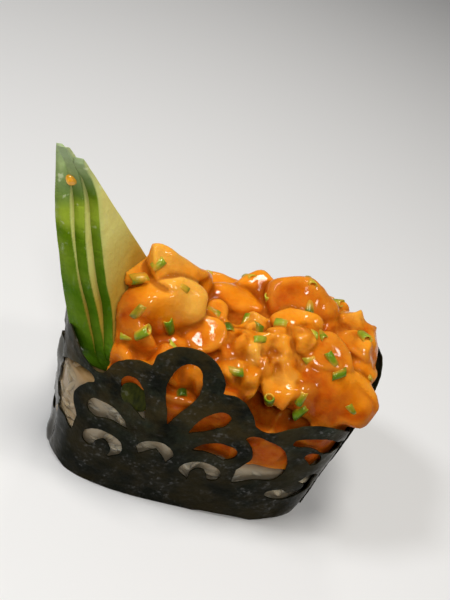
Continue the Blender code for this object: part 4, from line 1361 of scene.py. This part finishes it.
chives = {
    "radius": 0.98, "radiusSpread": (0.8, 1.15), "flattened": 0.80, "wall": 0.40, "length": 2.5,
    "lengthSpread": (0.7, 1.15), "tilt": 0.35, "slantedCut": 0.5, "sides": 12,
    # tries to place a ring on the back of the heap, the least distance between two, and the seed
    "tries": 120, "gap": 4.6, "seed": 41,
    "darkColour": (0.022, 0.060, 0.004), "midColour": (0.130, 0.230, 0.006),
    "paleColour": (0.520, 0.560, 0.050),
    # middle, half sizes and long axis of the leaf seen through the upper left petal
    "leafPlace": (-12.75, -16.8, 27.1), "leafSize": (2.1, 0.30, 3.5), "leafAxis": (-0.51, 0.0, 0.86),
    "leafColour": (0.014, 0.018, 0.003), "veinColour": (0.050, 0.055, 0.006),
}
# x and height where the line of sight through a ring crosses the plane y = 0, turn in degrees and tone
chiveSpots = [
    (0.7, 32.8, 10, 0.15), (6.1, 34.4, 80, 0.25), (6.8, 32.1, 120, 0.7), (9.2, 37.2, 40, 0.7),
    (13.0, 41.8, 95, 0.15), (15.3, 37.1, 70, 0.85), (24.3, 39.1, 20, 0.7), (28.7, 34.9, 100, 0.6),
    (23.6, 28.8, 15, 0.4), (16.8, 30.4, 60, 0.6), (5.1, 22.5, 5, 0.5), (29.1, 30.2, 80, 0.6),
    (29.5, 20.6, 140, 0.35), (20.1, 16.7, 60, 0.35), (5.0, 41.4, 90, 1.0), (11.1, 48.0, 20, 0.8),
    (13.4, 17.4, 100, 0.1), (-16.1, 30.9, 75, 0.3), (-9.6, 29.6, 110, 0.35), (-13.9, 26.3, 45, 0.6),
    (-16.4, 24.1, 15, 0.7), (-7.8, 25.0, 80, 0.95), (-9.0, 39.1, 130, 0.6), (-17.3, 37.6, 10, 0.55),
    (-2.9, 35.9, 60, 0.5), (-3.3, 13.9, 10, 0.0), (-14.5, 42.7, 40, 0.7), (3.0, 35.5, 150, 0.55),
    (19.2, 20.1, 80, 0.4), (17.0, 37.2, 20, 0.5), (20.9, 31.9, 130, 0.5),
]


def chiveMaterial():
    made, tree, shader = newMaterial(
        "cutChive", IOR=1.4, Roughness=0.28, Specular_Tint=(0.8, 0.8, 0.3, 1),
        Subsurface_Weight=0.25, Subsurface_Scale=0.002, Subsurface_Radius=(0.6, 1.0, 0.2),
        Coat_Weight=0.35, Coat_Roughness=0.08,
    )
    share = blended(tree, 0.85, attributeOut(tree, "tone"), mottle(tree, 600.0, 0.3, 0.7))
    colour = ramp(tree, share, [
        (0.0, chives["darkColour"]), (0.5, chives["midColour"]), (1.0, chives["paleColour"]),
    ])
    veil = times(tree, attributeOut(tree, "veil"), mottle(tree, 500.0, 0.30, 0.55))
    colour = mixColour(tree, veil, colour, salmon["sauceColour"])
    tree.links.new(colour, shader.inputs["Base Color"])
    bump(tree, shader, mottle(tree, 2200.0, 0.2, 0.8), 0.15, 0.0001)
    return made


def chivePlaces(salmonObject, random):
    # where the lines of sight through the chosen spots meet the salmon, and others spread by chance over
    # the heap's back: places, the surface's normals there, turns and tones
    graph = bpy.context.evaluated_depsgraph_get()
    surface = BVHTree.FromObject(salmonObject, graph)
    eye = Vector(viewpoint) * 0.001
    found = []
    for x, height, turn, tone in chiveSpots:
        sight = (Vector((x, 0, height)) * 0.001 - eye).normalized()
        place, normal, _, _ = surface.ray_cast(eye, sight)
        if place is not None:
            found.append((np.array(place) * 1000, normal, turn, tone))
    for _ in range(chives["tries"]):
        x, y = random.uniform(-9, 25), random.uniform(8.5, 14)
        place, normal, _, _ = surface.ray_cast(Vector((x, y, 70)) * 0.001, Vector((0, 0, -1)))
        if place is None:
            continue
        place = np.array(place) * 1000
        gap = min(np.linalg.norm(other[0] - place) for other in found)
        if normal[2] > 0.35 and gap > chives["gap"]:
            found.append((place, normal, random.uniform(0, 180), random.uniform(0.1, 0.9)))
    return [np.array(values) for values in zip(*found)]


def makeChives(salmonObject, material):
    # a wall section of nine points swept round an oval: along the outside, in over the cut and back inside
    random = np.random.default_rng(chives["seed"])
    places, normals, turns, tones = chivePlaces(salmonObject, random)
    count = len(places)
    frames = turnMatrices(normals)
    turn = np.radians(turns)
    side = frames[..., 0] * np.cos(turn)[:, None] + frames[..., 1] * np.sin(turn)[:, None]
    axis = side + normals * random.uniform(-chives["tilt"], chives["tilt"], (count, 1))
    axis /= np.linalg.norm(axis, axis=1, keepdims=True)
    sides = chives["sides"]
    angle = 2 * np.pi * np.arange(sides) / sides
    inner = 1.0 - chives["wall"]
    middle = (1.0 + inner) / 2
    section = np.array([
        (-1.0, 0.97), (-0.35, 1.0), (0.35, 1.0), (1.0, 0.97), (1.03, middle),
        (0.97, inner), (0.0, inner), (-0.97, inner), (-1.03, middle),
    ])
    ring = np.stack([
        section[:, 1:] * np.cos(angle), section[:, 1:] * np.sin(angle) * chives["flattened"],
        np.repeat(section[:, :1], sides, 1),
    ], -1).reshape(-1, 3)
    radius = random.uniform(*chives["radiusSpread"], count) * chives["radius"]
    length = random.uniform(*chives["lengthSpread"], count) * chives["length"] / 2
    shape = ring * np.stack([radius, radius, length], -1)[:, None]
    slope = random.uniform(-chives["slantedCut"], chives["slantedCut"], (count, 1))
    shape[..., 2] += slope * shape[..., 0]
    lift = places + normals * (radius * random.uniform(-0.75, -0.15, count))[:, None]
    shape = np.einsum("kij,knj->kni", turnMatrices(axis), shape) + lift[:, None]
    rows = len(section)
    here, beside = ringSteps(rows, sides)
    quads = np.stack([here, (here + sides) % (rows * sides), (beside + sides) % (rows * sides), beside], 1)
    points, blocks = manyCopies(shape, [quads])
    mesh = meshFrom("chiveRings", points, blocks)
    facingOut(mesh)
    isInner = np.repeat((section[:, 1] < 0.9).astype(float), sides)
    away = pointsOf(mesh) - np.repeat(places, len(ring), 0)
    above = (away * np.repeat(normals, len(ring), 0)).sum(1)
    setAttribute(mesh, "veil", 0.8 * eased(above, 0.5, -0.1))
    toneAt = np.repeat(tones, len(ring)) + 0.45 * np.tile(isInner, count)
    setAttribute(mesh, "tone", np.clip(toneAt, 0, 1))
    finished(newObject("chiveRings", mesh), material, ["salmon_tartare"])
    print("chives:", count)


def makeLeaf():
    # a flattened ball, waved a little, laid upright between the salmon and the seaweed
    ball, quads, triangles = ballGrid(20, 32)
    shape = ball * chives["leafSize"]
    shape[:, 1] += 0.12 * latticeNoise(shape, 2.0, 181)
    shape[:, 0] += 0.25 * latticeNoise(shape, 2.5, 191)
    along = np.array(chives["leafAxis"])
    turned = shape[:, :1] * [along[2], 0, -along[0]] + shape[:, 1:2] * [0, 1, 0] + shape[:, 2:] * along
    mesh = meshFrom("chiveLeaf", turned + chives["leafPlace"], [quads, triangles])
    facingOut(mesh)
    made, tree, shader = newMaterial(
        "chiveLeaf", Specular_IOR_Level=0.03, Roughness=0.5, Coat_IOR=1.35, Coat_Roughness=0.1,
    )
    veins = mottle(tree, 900.0, 0.35, 0.65, 0.6, stretch=(1.0, 1.0, 0.3))
    colour = mixColour(tree, veins, chives["leafColour"], chives["veinColour"])
    tree.links.new(colour, shader.inputs["Base Color"])
    tree.links.new(mottle(tree, 800.0, 0.60, 0.66), shader.inputs["Coat Weight"])
    bump(tree, shader, veins, 0.2, 0.0001)
    finished(newObject("chiveLeaf", mesh), made, ["salmon_tartare"])
    print("chive leaf: 1")


# stage

camera = {
    "lens": 48.49, "sensor": 36.0, "near": 0.005, "right": (0.958485, 0.069247, 0.276606),
    "up": (-0.257856, 0.624592, 0.737153), "back": (-0.12172, -0.777875, 0.616518),
}


def makeCamera():
    data = bpy.data.cameras.new("camera")
    data.lens = camera["lens"]
    data.sensor_width = camera["sensor"]
    data.clip_start = camera["near"]
    obj = newObject("camera", data)
    rotation = Matrix((camera["right"], camera["up"], camera["back"])).transposed()
    obj.rotation_mode = "QUATERNION"
    obj.rotation_quaternion = rotation.to_quaternion().normalized()
    obj.location = Vector(viewpoint) * 0.001
    bpy.context.scene.camera = obj


lights = {
    # place in metres, size, power in watts and colour
    "key": ((-0.02, -0.02, 0.40), 0.10, 0.66, (1.0, 0.97, 0.92)),
    "left": ((-0.24, -0.02, 0.34), 0.08, 0.52, (0.97, 0.98, 1.0)),
    "right": ((0.24, -0.04, 0.32), 0.07, 0.18, (1.0, 0.97, 0.92)),
    "front": ((-0.02, -0.28, 0.34), 0.09, 0.44, (1.0, 0.98, 0.95)),
    "back": ((0.0, 0.30, 0.28), 0.06, 0.10, (1.0, 0.97, 0.93)),
}


stage = {"side": 3.0, "colour": (0.86, 0.86, 0.86, 1), "lampsAimAt": (0, 0, 0.025), "worldStrength": 0.08}


def makeStage():
    side = stage["side"]
    corners = [(-side, -side, 0), (side, -side, 0), (side, side, 0), (-side, side, 0)]
    mesh = bpy.data.meshes.new("floor")
    mesh.from_pydata(corners, [], [(0, 1, 2, 3)])
    floor = newObject("floor", mesh)
    mesh.materials.append(newMaterial("paleFloor", Roughness=0.6, Base_Color=stage["colour"])[0])
    for name, (place, size, power, colour) in lights.items():
        data = bpy.data.lights.new(name, "AREA")
        data.shape = "DISK"
        data.size = size
        data.energy = power
        data.color = colour
        lamp = newObject(name, data)
        lamp.location = place
        lamp.rotation_mode = "QUATERNION"
        aim = Vector(stage["lampsAimAt"]) - lamp.location
        lamp.rotation_quaternion = aim.to_track_quat("-Z", "Y")
    world = bpy.data.worlds.new("paleWorld")
    world.use_nodes = True
    background = world.node_tree.nodes["Background"]
    background.inputs[0].default_value = (1, 1, 1, 1)
    background.inputs[1].default_value = stage["worldStrength"]
    bpy.context.scene.world = world
    bpy.context.scene.view_settings.view_transform = "Standard"


makeCamera()
makeStage()
makeSeaweed()
makeEgg(makeCucumber())
riceLook = riceMaterial()
makeRiceCore(riceLook)
makeRiceGrains(riceLook)
salmonObject = makeSalmon()
makeChives(salmonObject, chiveMaterial())
makeLeaf()
